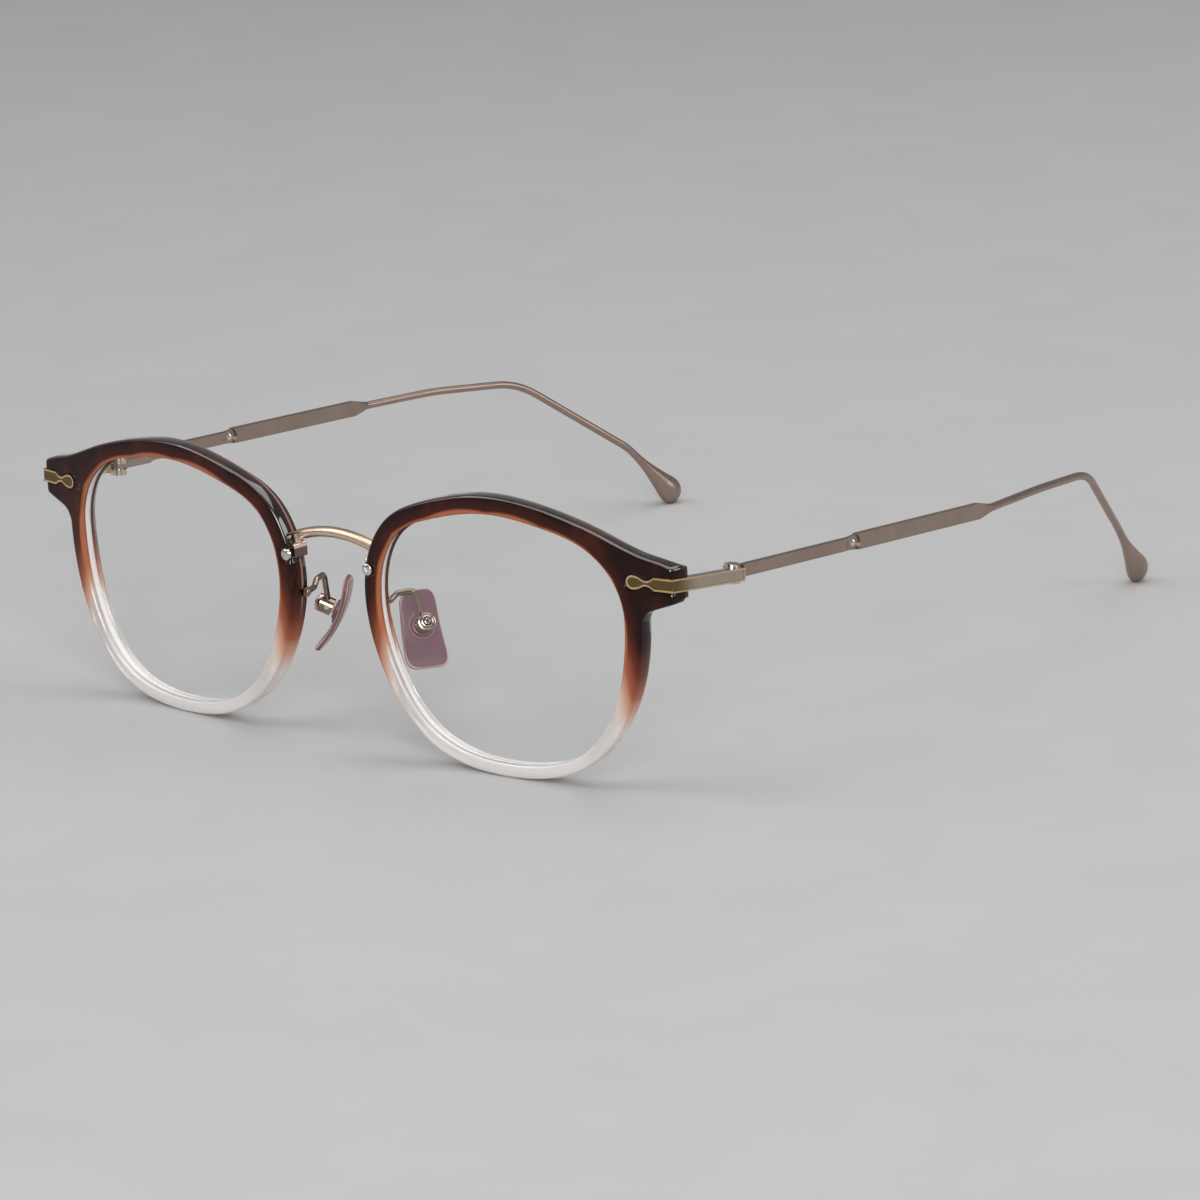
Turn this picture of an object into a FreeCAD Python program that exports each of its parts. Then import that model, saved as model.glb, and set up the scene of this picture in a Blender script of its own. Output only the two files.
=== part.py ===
import FreeCAD, Part
import math
import os
from FreeCAD import Placement, Rotation, Vector

# Full-rim combination spectacles, in millimetres and degrees. X runs to the wearer's left,
# Y from the front towards the ears and Z up. The frame stands open on its two rims and its
# two temple tips. The wearer's left side is modelled and the right side is its mirror image.

# Openings for the lenses and how the two halves of the front stand
lens_width = 49.2
lens_height = 41.9
lens_gap = 22.1
face_wrap = 4.7
face_tilt = 0.9
face_curve_radius = 333.0

# Acetate rims
rim_width = 2.2
brow_width = 3.1
rim_depth = 3.9
rim_front_radius = 0.5
rim_back_bevel_width = 0.45
rim_back_bevel_depth = 1.4
brow_back_bevel_width = 0.95
opening_radius = 0.35
opening_back_bevel_width = 0.8
opening_back_bevel_depth = 1.1
wing_reach = 9.2
wing_top = 15.6
wing_height = 5.85
wing_corner_radius = 0.8
wing_flare = 0.85
wing_root_reach = 3.75
wing_root_drop = 2.05
wing_root_radius = 2.6

# Lenses and the groove that holds them
lens_thickness = 1.5
lens_setback = 1.05
groove_depth = 0.5
lens_fit = 0.03

# Metal end pieces: a plaque let into the front of the wing and a bar along its side
metal_fit = 0.03
metal_proud = 0.3
side_proud = 0.08
plate_thickness = 1.1
plaque_rise = 0.2
plaque_length = 8.35
plaque_height = 2.2
plaque_flat_length = 3.3
plaque_waist_place = 4.85
plaque_waist_height = 0.9
plaque_round_radius = 1.15
bar_length = 18.1
bar_height = 2.25
bar_lift = 0.35
bar_dip = 0.55
bar_corner_radius = 0.4
field_border = 0.32
field_depth = 0.12
pin_radius = 0.5
pin_head_radius = 0.9
pin_head_height = 0.3
pin_setting = 0.6

# Hinges at the rear end of the bars
hinge_inset = 1.6
hinge_end_distance = 1.2
hinge_height = 2.46
hinge_barrel_radius = 1.45
hinge_eye_radius = 1.05
hinge_eye_height = 0.7
hinge_screw_radius = 0.5
hinge_screw_head_radius = 1.2
hinge_screw_head_height = 0.45
hinge_slot_width = 0.3
hinge_slot_depth = 0.2
hinge_boss_height = 0.25
hinge_sweep_gap = 0.12
washer_thickness = 0.12
washer_radius = 0.95
axial_play = 0.02
running_fit = 0.03

# Temples
temple_pitch = 3.75
temple_splay = 1.0
temple_gap = 0.15
temple_inset = 0.05
temple_thickness = 1.2
temple_height = 2.0
temple_block_length = 6.0
temple_block_height = 1.3
temple_block_thickness = 1.15
temple_block_ramp = 2.0
stud_place = 46.5
stud_radius = 0.7
stud_dome = 0.3
stud_shank_radius = 0.4
recess_depth = 0.35
recess_radius = 1.4
recess_ramp = 0.8
wide_bar_length = 32.0
wide_bar_rise = 0.4
wide_bar_fall = 0.25
wire_taper_length = 3.6
wire_diameter = 1.35
wire_run = 16.1
wire_in = 2.2
wire_climb = 0.45
ear_run = 18.9
ear_in = 4.05
ear_sink = 0.7
ear_bend_radius = 17.0
wire_ease_radius = 70.0
drop_run = 21.4
drop_in = 9.0
drop_fall = 14.27
tip_bend_radius = 14.0
tip_length = 15.65
tip_run = 11.0
tip_in = 2.97
tip_fall = 10.72
tip_width = 4.9
tip_thickness = 3.3

# Bridge with its lugs and screws
bridge_radius = 0.93
bridge_rise = 1.6
bridge_lift = 1.0
bridge_back = 0.5
lug_width = 2.1
lug_height = 2.5
lug_depth = 2.9
lug_place = 8.9
lug_proud = 0.05
lug_edge_radius = 0.3
neck_width = 1.3
bridge_screw_radius = 0.5
bridge_screw_head_radius = 1.0
bridge_screw_head_height = 0.4
bridge_screw_inset = 2.05
bridge_screw_place = 8.5
bridge_screw_proud = 0.1
bridge_screw_length = 2.2

# Nose pads, their arms and their screws
pad_spread = 16.6
pad_back = 11.7
pad_centre_height = 18.6
pad_splay = 32.0
pad_flare = 25.0
pad_drop = 0.6
pad_length = 13.4
pad_low_width = 7.6
pad_high_width = 6.0
pad_thickness = 1.1
pad_curve_radius = 18.0
pad_boss_radius = 1.8
pad_boss_height = 0.8
pad_gap = 0.35
pad_stem_radius = 0.9
pad_stem_depth = 0.9
pad_fit = 0.02
tab_thickness = 0.8
tab_play = 0.05
tab_radius = 0.75
box_radius = 1.5
box_front = 0.9
box_reach = 2.0
box_dome = 0.7
pad_screw_radius = 0.4
pad_screw_reach = 1.35
pad_screw_head_radius = 0.65
pad_screw_head_height = 0.3
arm_diameter = 1.0
arm_rise = 1.05
arm_end_back = 0.3
arm_end_side = 0.4
arm_bend_radius = 1.05
arm_place = 1.6
foot_radius = 0.9
foot_height = 0.5
foot_sink = 0.6
foot_depth = 3.0
peg_radius = 0.5
peg_length = 1.2

# A cut runs past the surface that it opens by this much
overrun = 3.0

# Outline of a lens opening as shares of its half width and half height, from the outer side
# down round the bottom, up the nose side and along the top
lens_shares = (
    (0.998, 0.276), (0.963, -0.138), (0.846, -0.523), (0.612, -0.836), (0.283, -0.976), (-0.054, -0.998),
    (-0.367, -0.945), (-0.658, -0.765), (-0.856, -0.459), (-0.969, -0.112), (-1.0, 0.166),
    (-0.962, 0.471), (-0.828, 0.724), (-0.531, 0.892), (-0.044, 1.0), (0.382, 0.946), (0.709, 0.827),
    (0.913, 0.61),
)
# The first points of that list that the outer edge of the rim follows
rim_point_count = 16
# The rings of the rim are divided after every so many of those points and at each point beyond them;
# the corners of its wing and its rounded edges are drawn with so many points and steps
ring_step_count = 5
wing_point_count = 4
round_step_count = 2
# The rim grows from its lower to its brow width over this share of half the height
rim_growth_share = 1.2
# The brow's line from the top of the rim to the wing, as shares of the way out and down
brow_shares = ((0.45, 0.42), (0.76, 0.79))
# Where the swelling of a temple tip starts, as a share of its length
tip_neck_share = 0.12
# Sections of a temple tip: share of its length, of its width and of its thickness
tip_shares = ((0.2, 0.295, 0.43), (0.32, 0.36, 0.49), (0.47, 0.51, 0.61), (0.62, 0.71, 0.77),
              (0.76, 0.92, 0.94), (0.86, 1.0, 1.0), (0.94, 0.84, 0.84), (0.985, 0.48, 0.5))
# Sections of a nose pad from its lower end: share of its length from the middle, and of its width there
pad_shares = ((-0.498, 0.6), (-0.475, 0.85), (-0.43, 0.965), (-0.22, 1.0), (0.0, 1.0), (0.22, 1.0),
              (0.43, 0.965), (0.475, 0.85), (0.498, 0.6))
# How square a section of a nose pad is, and how little it thins towards its ends
pad_corner_share = 0.6
pad_edge_share = 0.25
# Points on a section of a nose pad or a temple tip
oval_point_count = 12
# Route of a pad arm: share of the way from rim to box, and of its rise
arm_shares = ((0.34, 0.0), (0.5, 1.0), (0.86, 1.0))
# Pins of an end piece, as shares of the length of the plaque
pin_shares = (0.32, 0.86)
# How far a lens edge stays from the floor of its groove, as a share of the groove
lens_seat_share = 0.9

X_AXIS = Vector(1, 0, 0)
Y_AXIS = Vector(0, 1, 0)
Z_AXIS = Vector(0, 0, 1)
ORIGIN = Vector(0, 0, 0)


def moved(shape, placement):
    """Copy of a shape, moved from its own frame into the frame of the spectacles."""
    copy = shape.copy()
    copy.Placement = placement.multiply(copy.Placement)
    return copy


def mirrored(shape):
    """The same piece for the wearer's right side."""
    return shape.mirror(ORIGIN, X_AXIS)


def cylinder(radius, start, axis, length):
    """Round bar from a start point along an axis."""
    return Part.makeCylinder(radius, length, start, axis)


def block(low, high):
    """Box between two corners."""
    size = high - low
    return Part.makeBox(size.x, size.y, size.z, low)


def prism(points, push):
    """Straight-sided solid with a polygon as its base."""
    return Part.Face(Part.makePolygon(points + points[:1])).extrude(push)


def bow(radius, distance):
    """How far a curved face falls back at a distance from its middle."""
    return radius - math.sqrt(radius ** 2 - distance ** 2)


def bent_plate(outline, curve_radius, near, far):
    """Plate between two depths behind a face that is bent about an upright axis.

    The outline lies in the XZ plane and the plate's depth runs along Y.
    """
    box = outline.BoundBox
    reach = bow(curve_radius, max(-box.XMin, box.XMax)) + abs(far) + abs(near) + overrun
    full = Part.Face(outline).extrude(Vector(0, reach + reach, 0))
    full.translate(Vector(0, -reach, 0))
    foot = Vector(0, curve_radius, box.ZMin - overrun)
    height = box.ZLength + overrun + overrun
    outer = cylinder(curve_radius - near, foot, Z_AXIS, height)
    inner = cylinder(curve_radius - far, foot, Z_AXIS, height)
    return full.common(outer.cut(inner)).Solids[0]


def spacing(points):
    """Places of points along the closed chain of straight runs through them."""
    places = [0]
    for point, following in zip(points, points[1:] + points[:1]):
        places.append(places[-1] + point.distanceToPoint(following))
    return places


def closed_curve(points, places):
    """Smooth closed curve through points, which lie at the given places along it."""
    curve = Part.BSplineCurve()
    curve.interpolate(Points=points, PeriodicFlag=True, Parameters=places)
    return curve


def grown(points, widths):
    """Points moved outwards, square to the closed curve through them."""
    places = spacing(points)
    curve = closed_curve(points, places)
    result = []
    for point, place, width in zip(points, places, widths):
        along = curve.tangent(place)[0]
        result.append(point + along.cross(Y_AXIS) * width)
    return result


def lens_points():
    """Points on the edge of a lens opening, about its middle."""
    return [Vector(lens_width / 2 * out, 0, lens_height / 2 * up) for out, up in lens_shares]


def lens_outline(growth):
    """Edge of a lens opening, or of a lens that is larger by a growth all round."""
    points = lens_points()
    return Part.Wire([closed_curve(grown(points, [growth] * len(points)), spacing(points)).toShape()])


def wing_corner():
    """Upper outer corner of the rim, where the end piece sits."""
    return Vector(lens_width / 2 + wing_reach, 0, wing_top)


def rim_corners():
    """The three corners of the wing: upper, lower, and where it meets the side of the rim."""
    upper = wing_corner()
    lower = upper - Vector(0, 0, wing_height)
    root = Vector(lens_width / 2 + wing_root_reach, 0, lower.z - wing_root_drop)
    return upper, lower, root


def rim_width_at(up_share):
    """Width of the rim at a share of half the height of the opening above its middle."""
    growth = min((1 + up_share) / rim_growth_share, 1)
    return rim_width + (brow_width - rim_width) * growth


def wing_share(point):
    """How far out along the wing a point lies, as a share of its reach beyond its root."""
    root = lens_width / 2 + wing_root_reach
    return min(max((point.x - root) / (wing_corner().x - root), 0), 1)


def rim_bevel_at(point):
    """Width of the bevel at the back of the rim, which grows towards the brow and narrows along the wing."""
    up_share = min(max(point.z / (lens_height / 2), 0), 1)
    growth = (brow_back_bevel_width - rim_back_bevel_width) * up_share
    return rim_back_bevel_width + growth * (1 - wing_share(point))


def rim_points():
    """Points on the outer edge of a rim, which has a wing at its upper outer corner.

    The first points lie over those of the lens opening.
    """
    edge = grown(lens_points(), [rim_width_at(up) for out, up in lens_shares])[:rim_point_count]
    upper, lower, root = rim_corners()
    crown = edge[-1]
    way = upper - crown
    brow = [crown + Vector(way.x * out_share, 0, way.z * down_share) for out_share, down_share in brow_shares]
    corners = [brow[-1], upper, lower, root, edge[0]]
    wing = rounded_path(corners, (wing_corner_radius, wing_corner_radius, wing_root_radius))
    points = edge + brow
    for run in wing.Edges[1:-1]:
        points += run.discretize(wing_point_count)[:-1]
    return points + [wing.Edges[-1].firstVertex().Point]


def ring(points, growths, depth):
    """Edges of a smooth ring, outside points of an outline by growths and a depth behind the bent face.

    The end of the wing reaches further out at the back, so that it lies along the side of the temple.
    """
    bent = []
    for point in grown(points, growths):
        out = point.x + wing_flare * depth / rim_depth * wing_share(point)
        back = face_curve_radius - math.sqrt((face_curve_radius - depth) ** 2 - out ** 2)
        bent.append(Vector(out, back, point.z))
    places = spacing(bent)
    curve = closed_curve(bent, places)
    breaks = places[:rim_point_count:ring_step_count] + places[rim_point_count:len(lens_shares)] + places[-1:]
    return [curve.toShape(first, last) for first, last in zip(breaks, breaks[1:])]


def quarter_round(radius):
    """Inset and depth of points on a rounded edge, from the face to the wall."""
    steps = [math.pi / 2 * step / round_step_count for step in range(round_step_count + 1)]
    return [(radius * (1 - math.sin(turn)), radius * (1 - math.cos(turn))) for turn in steps]


def rim_blank():
    """Rim with its lens opening and rounded edges, before the metal parts are let in."""
    outer = [(-inset, depth) for inset, depth in quarter_round(rim_front_radius)]
    outer.append((0, rim_depth - rim_back_bevel_depth))
    groove_front = lens_setback - lens_fit
    groove_back = lens_setback + lens_thickness + lens_fit
    inner = [(opening_back_bevel_width, rim_depth), (0, rim_depth - opening_back_bevel_depth)]
    inner += [(0, groove_back), (groove_depth, groove_back), (groove_depth, groove_front), (0, groove_front)]
    inner += quarter_round(opening_radius)[::-1]
    edge = rim_points()
    opening = lens_points()
    rings = [ring(edge, [growth] * len(edge), depth) for growth, depth in outer]
    rings.append(ring(edge, [-rim_bevel_at(point) for point in edge], rim_depth))
    rings += [ring(opening, [growth] * len(opening), depth) for growth, depth in inner]
    strips = []
    for near, far in zip(rings, rings[1:] + rings[:1]):
        strips += [Part.makeRuledSurface(first, second) for first, second in zip(near, far)]
    shell = Part.makeShell(strips)
    shell.sewShape()
    return Part.makeSolid(shell)


def lens():
    """Bent clear lens that fills the groove of its rim."""
    outline = lens_outline(groove_depth * lens_seat_share)
    return bent_plate(outline, face_curve_radius, lens_setback, lens_setback + lens_thickness)


def plaque_outline(inset):
    """Front outline of the plaque: a flat tongue, a waist and a round end."""
    half = plaque_height / 2 - inset
    flat = Vector(-plaque_flat_length, 0, half)
    waist = Vector(-plaque_waist_place, 0, plaque_waist_height / 2 - inset)
    crown = Vector(plaque_round_radius - plaque_length, 0, plaque_round_radius - inset)
    tip = Vector(inset - plaque_length, 0, 0)
    curve = Part.BSplineCurve()
    curve.interpolate([flat, waist, crown], InitialTangent=-X_AXIS - Z_AXIS, FinalTangent=-X_AXIS)
    upper = curve.toShape()
    lower = upper.mirror(ORIGIN, Z_AXIS)
    low_crown = Vector(crown.x, 0, -crown.z)
    low_flat = Vector(flat.x, 0, -half)
    corner = Vector(0, 0, half)
    low_corner = Vector(0, 0, -half)
    edges = [Part.makeLine(corner, flat), upper, Part.Arc(crown, tip, low_crown).toShape(), lower,
             Part.makeLine(low_flat, low_corner), Part.makeLine(low_corner, corner)]
    return Part.Wire(Part.__sortEdges__(edges))


def bar_middle(along):
    """Height of the middle of the side bar at a distance behind the bend."""
    return bar_lift - (bar_lift + bar_dip) * along / bar_length


def bar_plate(inset, start, outside, depth):
    """Sloping bar along the side, with its rear corners rounded."""
    half = bar_height / 2 - inset
    rear = bar_length - inset
    points = []
    for along, up in ((start, half), (rear, half), (rear, -half), (start, -half)):
        points.append(Vector(outside, along, bar_middle(along) + up))
    plate = prism(points, Vector(-depth, 0, 0))
    corners = []
    for edge in plate.Edges:
        along = edge.tangentAt(0)
        if edge.BoundBox.YMin > rear - metal_fit and abs(along.x) > abs(along.z):
            corners.append(edge)
    return plate.makeFillet(bar_corner_radius - max(inset, 0) / 2, corners)


def end_plates(growth):
    """The plaque and the bar as one bent strip, or the pocket for them when grown."""
    plaque = Part.Face(plaque_outline(-growth)).extrude(Vector(0, plate_thickness + growth, 0))
    bar = bar_plate(-growth, 0, 0, plate_thickness + growth)
    return moved(plaque, plaque_frame).fuse(moved(bar, side_frame))


def hinge_middle():
    """Height of the middle of the hinge in the frame of the side."""
    return bar_middle(hinge_y())


def hinge_y():
    """Distance of the hinge axis behind the bend."""
    return bar_length - hinge_end_distance


def hinge_point(height):
    """Point on the hinge axis, at a height over the middle of the hinge."""
    return Vector(-hinge_inset, hinge_y(), hinge_middle() + height)


def hinge_bore():
    """Room for the hinge screw through the leaves, the washers and the eye."""
    return cylinder(hinge_screw_radius + running_fit, hinge_point(-overrun), Z_AXIS, overrun + overrun)


def end_piece():
    """Plaque, bar and two hinge leaves, with a sunk field along the outside."""
    strip = end_plates(0)
    gap = hinge_eye_height / 2 + washer_thickness + axial_play + axial_play
    top = hinge_height / 2
    metal = []
    for low, high in ((gap, top), (-top - hinge_boss_height, -gap)):
        barrel = cylinder(hinge_barrel_radius, hinge_point(low), Z_AXIS, high - low)
        corner = hinge_point(max(low, -top))
        rear = Vector(-field_depth - field_border, bar_length - bar_corner_radius, hinge_middle() + high)
        web = block(corner - Vector(0, hinge_barrel_radius, 0), rear)
        metal.append(moved(barrel.fuse(web), side_frame))
    piece = strip.multiFuse(metal)
    throat = cylinder(hinge_eye_radius + hinge_sweep_gap, hinge_point(-gap), Z_AXIS, gap + gap)
    plaque_field = Part.Face(plaque_outline(field_border)).extrude(Vector(0, field_depth + overrun, 0))
    plaque_field.translate(Vector(0, -overrun, 0))
    bar_field = bar_plate(field_border, 0, overrun, overrun + field_depth)
    piece = piece.cut(moved(throat.fuse(hinge_bore()).fuse(bar_field), side_frame))
    return piece.cut(moved(plaque_field, plaque_frame)).removeSplitter()


def end_pins(growth):
    """Two pins that hold the end piece to the acetate, with heads set flush at the back."""
    back = metal_proud + rim_depth - pin_setting
    pins = []
    for share in pin_shares:
        foot = Vector(-plaque_length * share, plate_thickness, 0)
        pins.append(cylinder(pin_radius + growth, foot, Y_AXIS, back - plate_thickness))
        head = Vector(foot.x, back, 0)
        pins.append(cylinder(pin_head_radius + growth, head, Y_AXIS, pin_head_height))
    return pins


def joined(shapes, frame):
    """Several solids of one frame as one compound of separate solids."""
    whole = shapes[0].multiFuse(shapes[1:])
    return moved(Part.makeCompound(whole.Solids), frame)


def hinge_screw():
    """Screw with a slotted head on the upper leaf and its end flush with the lower boss."""
    top = hinge_height / 2
    length = hinge_height + hinge_boss_height
    shank = cylinder(hinge_screw_radius, hinge_point(-top - hinge_boss_height), Z_AXIS, length)
    head = cylinder(hinge_screw_head_radius, hinge_point(top), Z_AXIS, hinge_screw_head_height)
    slot_low = hinge_point(top + hinge_screw_head_height - hinge_slot_depth)
    slot_half = Vector(hinge_screw_head_radius, hinge_slot_width / 2, 0)
    slot = block(slot_low - slot_half, slot_low + slot_half + Vector(0, 0, overrun))
    return moved(shank.fuse(head).cut(slot), side_frame)


def hinge_washers():
    """Thin washers above and below the eye of the temple."""
    washers = []
    start = hinge_eye_height / 2 + axial_play
    for low in (start, -start - washer_thickness):
        disc = cylinder(washer_radius, hinge_point(low), Z_AXIS, washer_thickness)
        washers.append(disc.cut(hinge_bore()))
    return moved(Part.makeCompound(washers), side_frame)


def temple_sizes():
    """Outer face, inner face and the lengthwise places of the temple bar."""
    outer = -temple_inset
    inner = outer - temple_thickness
    start = bar_length + temple_gap
    ramp = stud_place - recess_radius - recess_ramp
    wide = stud_place + recess_radius
    return outer, inner, start, ramp, wide, wide + wide_bar_length


def temple_recess():
    """Sunk place round the stud on the outer face: a ramp down and a round end."""
    outer, inner, start, ramp, wide, end = temple_sizes()
    floor = outer - recess_depth
    tall = temple_height + wide_bar_rise + wide_bar_fall
    plan = [(outer, ramp), (floor, ramp + recess_ramp), (floor, stud_place), (outer + overrun, stud_place),
            (outer + overrun, ramp)]
    run = prism([Vector(across, along, -tall) for across, along in plan], Vector(0, 0, tall + tall))
    return run.fuse(cylinder(recess_radius, Vector(floor, stud_place, stud_height()), X_AXIS, overrun))


def stud_height():
    """Height of the stud: the middle of the bar where it grows wider."""
    return (wide_bar_rise - wide_bar_fall) / 4


def temple_bar():
    """Flat bar from the hinge to the wire, with a recess on each face for the stud."""
    outer, inner, start, ramp, wide, end = temple_sizes()
    low, high = -temple_height / 2, temple_height / 2
    side = [(start, low), (ramp, low), (wide, low - wide_bar_fall), (end, low - wide_bar_fall),
            (end, high + wide_bar_rise), (wide, high + wide_bar_rise), (ramp, high), (start, high)]
    bar = prism([Vector(outer, along, up) for along, up in side], Vector(-temple_thickness, 0, 0))
    recess = temple_recess()
    middle = Vector((outer + inner) / 2, 0, 0)
    bar = bar.cut(recess.fuse(recess.mirror(middle, X_AXIS)))
    shank = cylinder(stud_shank_radius, Vector(inner, stud_place, stud_height()), X_AXIS, temple_thickness)
    return bar.cut(shank)


def temple_hinge(bar):
    """The bar with its inner block and the eye that turns between the leaves of the end piece."""
    outer, inner, start, ramp, wide, end = temple_sizes()
    half = temple_height / 2
    face = inner - temple_block_thickness
    rear = start + temple_block_length
    plan = [(inner, start), (face, start), (face, rear), (inner, rear + temple_block_ramp)]
    base = [Vector(across, along, -half) for across, along in plan]
    body = bar.fuse(prism(base, Vector(0, 0, temple_block_height)))
    sweep = cylinder(hinge_barrel_radius + hinge_sweep_gap, hinge_point(-overrun), Z_AXIS, overrun + overrun)
    body = body.cut(sweep)
    low = -hinge_eye_height / 2
    eye = cylinder(hinge_eye_radius, hinge_point(low), Z_AXIS, hinge_eye_height)
    corner = hinge_point(low)
    arm = block(Vector(face, hinge_y(), corner.z),
                Vector(inner - metal_fit, start + hinge_barrel_radius, corner.z + hinge_eye_height))
    return body.multiFuse([eye, arm]).cut(hinge_bore())


def rounded_path(points, radii):
    """Straight runs through points, joined by tangent arcs."""
    edges = []
    start = points[0]
    for before, corner, after, radius in zip(points, points[1:], points[2:], radii):
        back = (before - corner).normalize()
        ahead = (after - corner).normalize()
        half_turn = (math.pi - back.getAngle(ahead)) / 2
        cut = radius * math.tan(half_turn)
        middle = (back + ahead).normalize()
        crest = corner + middle * (radius / math.cos(half_turn) - radius)
        edges.append(Part.makeLine(start, corner + back * cut))
        edges.append(Part.Arc(corner + back * cut, crest, corner + ahead * cut).toShape())
        start = corner + ahead * cut
    edges.append(Part.makeLine(start, points[-1]))
    return Part.Wire(edges)


def tube(path, diameter):
    """Round wire along a path."""
    first = path.Edges[0]
    start = first.FirstParameter
    circle = Part.Wire([Part.makeCircle(diameter / 2, first.valueAt(start), first.tangentAt(start))])
    return path.makePipeShell([circle], True, False)


def wire_points():
    """Corners of the wire from the flat bar over the ear to the tip."""
    outer, inner, start, ramp, wide, end = temple_sizes()
    first = Vector((outer + inner) / 2, end + wire_taper_length, (wide_bar_rise - wide_bar_fall) / 2)
    second = first + Vector(-wire_in, wire_run, wire_climb)
    third = second + Vector(-ear_in, ear_run, -ear_sink)
    fourth = third + Vector(-drop_in, drop_run, -drop_fall)
    fifth = fourth + Vector(-tip_in, tip_run, -tip_fall)
    return [first, second, third, fourth, fifth]


def tip_direction():
    """Direction in which the temple tip points."""
    return Vector(-tip_in, tip_run, -tip_fall).normalize()


def temple_wire():
    """Wire with a bend for the ear, ending where the tip begins to swell."""
    points = wire_points()
    points[-1] = points[-2] + tip_direction() * (tip_length * tip_neck_share + wire_diameter)
    return tube(rounded_path(points, (wire_ease_radius, ear_bend_radius, tip_bend_radius)), wire_diameter)


def taper():
    """Four-sided taper from the flat bar down to the round wire."""
    outer, inner, start, ramp, wide, end = temple_sizes()
    low = -temple_height / 2 - wide_bar_fall
    high = temple_height / 2 + wide_bar_rise
    section = ((outer, high), (inner, high), (inner, low), (outer, low))
    corners = [Vector(across, end, up) for across, up in section]
    frame = Part.makePolygon(corners + corners[:1])
    centre = wire_points()[0]
    turn = wire_diameter / 2 * math.sqrt(1 / 2)
    ends = [centre + Vector(turn * out, 0, turn * up) for out, up in ((1, 1), (-1, 1), (-1, -1), (1, -1))]
    crest = wire_diameter / 2
    crests = [centre + Vector(crest * out, 0, crest * up) for out, up in ((0, 1), (-1, 0), (0, -1), (1, 0))]
    arcs = [Part.Arc(a, m, b).toShape() for a, m, b in zip(ends, crests, ends[1:] + ends[:1])]
    return Part.makeLoft([frame, Part.Wire(arcs)], True, True)


def oval(centre, direction, wide_axis, width, thickness, corner_share):
    """Closed curve square to a direction: an ellipse, or nearer a rectangle with a corner share under 1."""
    across = direction.cross(wide_axis)
    points = []
    for step in range(oval_point_count):
        turn = 2 * math.pi * step / oval_point_count
        out_share = math.copysign(abs(math.cos(turn)) ** corner_share, math.cos(turn))
        up_share = math.copysign(abs(math.sin(turn)) ** corner_share, math.sin(turn))
        points.append(centre + wide_axis * (width / 2 * out_share) + across * (thickness / 2 * up_share))
    return Part.Wire([closed_curve(points, list(range(oval_point_count + 1))).toShape()])


def temple_tip():
    """Drop-shaped tip, flattened against the head."""
    neck = wire_points()[-2]
    direction = tip_direction()
    wide_axis = direction.cross(X_AXIS).normalize()
    start = neck + direction * (tip_length * tip_neck_share)
    thickness = wire_diameter + metal_fit
    sections = [oval(start, direction, wide_axis, thickness + metal_fit, thickness, 1)]
    for along_share, width_share, thickness_share in tip_shares:
        centre = neck + direction * (tip_length * along_share)
        width = tip_width * width_share
        thickness = tip_thickness * thickness_share
        sections.append(oval(centre, direction, wide_axis, width, thickness, 1))
    return Part.makeLoft(sections, True, False)


def temple():
    """One-piece metal temple: hinge eye, flat bar, wire and tip."""
    bar = temple_hinge(temple_bar())
    whole = bar.multiFuse([taper(), temple_wire(), temple_tip()])
    return moved(whole, side_frame)


def temple_stud():
    """Rivet through the thin web of the temple, domed on both faces."""
    outer, inner, start, ramp, wide, end = temple_sizes()
    low = inner + recess_depth
    high = outer - recess_depth
    foot = Vector(low, stud_place, stud_height())
    shank = cylinder(stud_shank_radius, foot, X_AXIS, high - low)
    ball_radius = (stud_radius ** 2 + stud_dome ** 2) / (2 * stud_dome)
    domes = []
    for face, side in ((high, 1), (low, -1)):
        seat = Vector(face, stud_place, stud_height())
        ball = Part.makeSphere(ball_radius, seat + X_AXIS * side * (stud_dome - ball_radius))
        domes.append(ball.common(cylinder(stud_radius, seat, X_AXIS * side, overrun)))
    return moved(shank.multiFuse(domes), side_frame)


def lug_box(growth):
    """Bridge lug in the frame of the rim: a block let into the nose side from behind."""
    outer = -lens_width / 2 - rim_width - (brow_width - rim_width) - lug_proud
    rear = rim_depth + lug_bow()
    half = lug_height / 2 + growth
    low = Vector(outer - growth, rear - lug_depth - growth, lug_place - half)
    high = Vector(outer + lug_width + growth, rear, lug_place + half)
    lug = block(low, high)
    along = [edge for edge in lug.Edges if edge.BoundBox.YLength > lug_depth / 2]
    return lug.makeFillet(lug_edge_radius, along)


def lug_bow():
    """How far the curve of the front lies back at the lug."""
    return bow(face_curve_radius, lens_width / 2 + rim_width)


def bridge_body(growth):
    """Arched bar between two lugs, or the room that they take in the rims when grown."""
    lug = moved(lug_box(growth), rim_frame)
    centre = lug.BoundBox.Center
    end = Vector(centre.x, centre.y + bridge_back, centre.z + lug_height / 2 + bridge_lift)
    crown = Vector(0, end.y, end.z + bridge_rise)
    half = neck_width / 2 + growth
    neck = block(centre - Vector(half, half, 0), Vector(centre.x + half, centre.y + half, end.z))
    arch = Part.Wire([Part.Arc(Vector(-end.x, end.y, end.z), crown, end).toShape()])
    return tube(arch, 2 * (bridge_radius + growth)).multiFuse([lug, neck, mirrored(lug), mirrored(neck)])


def bridge_screw(growth):
    """Screw from the front of a rim into the lug behind it."""
    place = -lens_width / 2 - bridge_screw_inset
    front = bow(face_curve_radius, place)
    head_start = Vector(place, front - bridge_screw_proud - growth, bridge_screw_place)
    head = cylinder(bridge_screw_head_radius + growth, head_start, Y_AXIS, bridge_screw_head_height + growth)
    shank_start = head_start + Vector(0, bridge_screw_head_height, 0)
    shank = cylinder(bridge_screw_radius + growth, shank_start, Y_AXIS, bridge_screw_length + growth)
    return moved(head.fuse(shank), rim_frame)


def pad_axis():
    """Distance of the pad's rocking axis behind its nose face."""
    return pad_thickness + pad_boss_height + pad_gap + box_front


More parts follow.
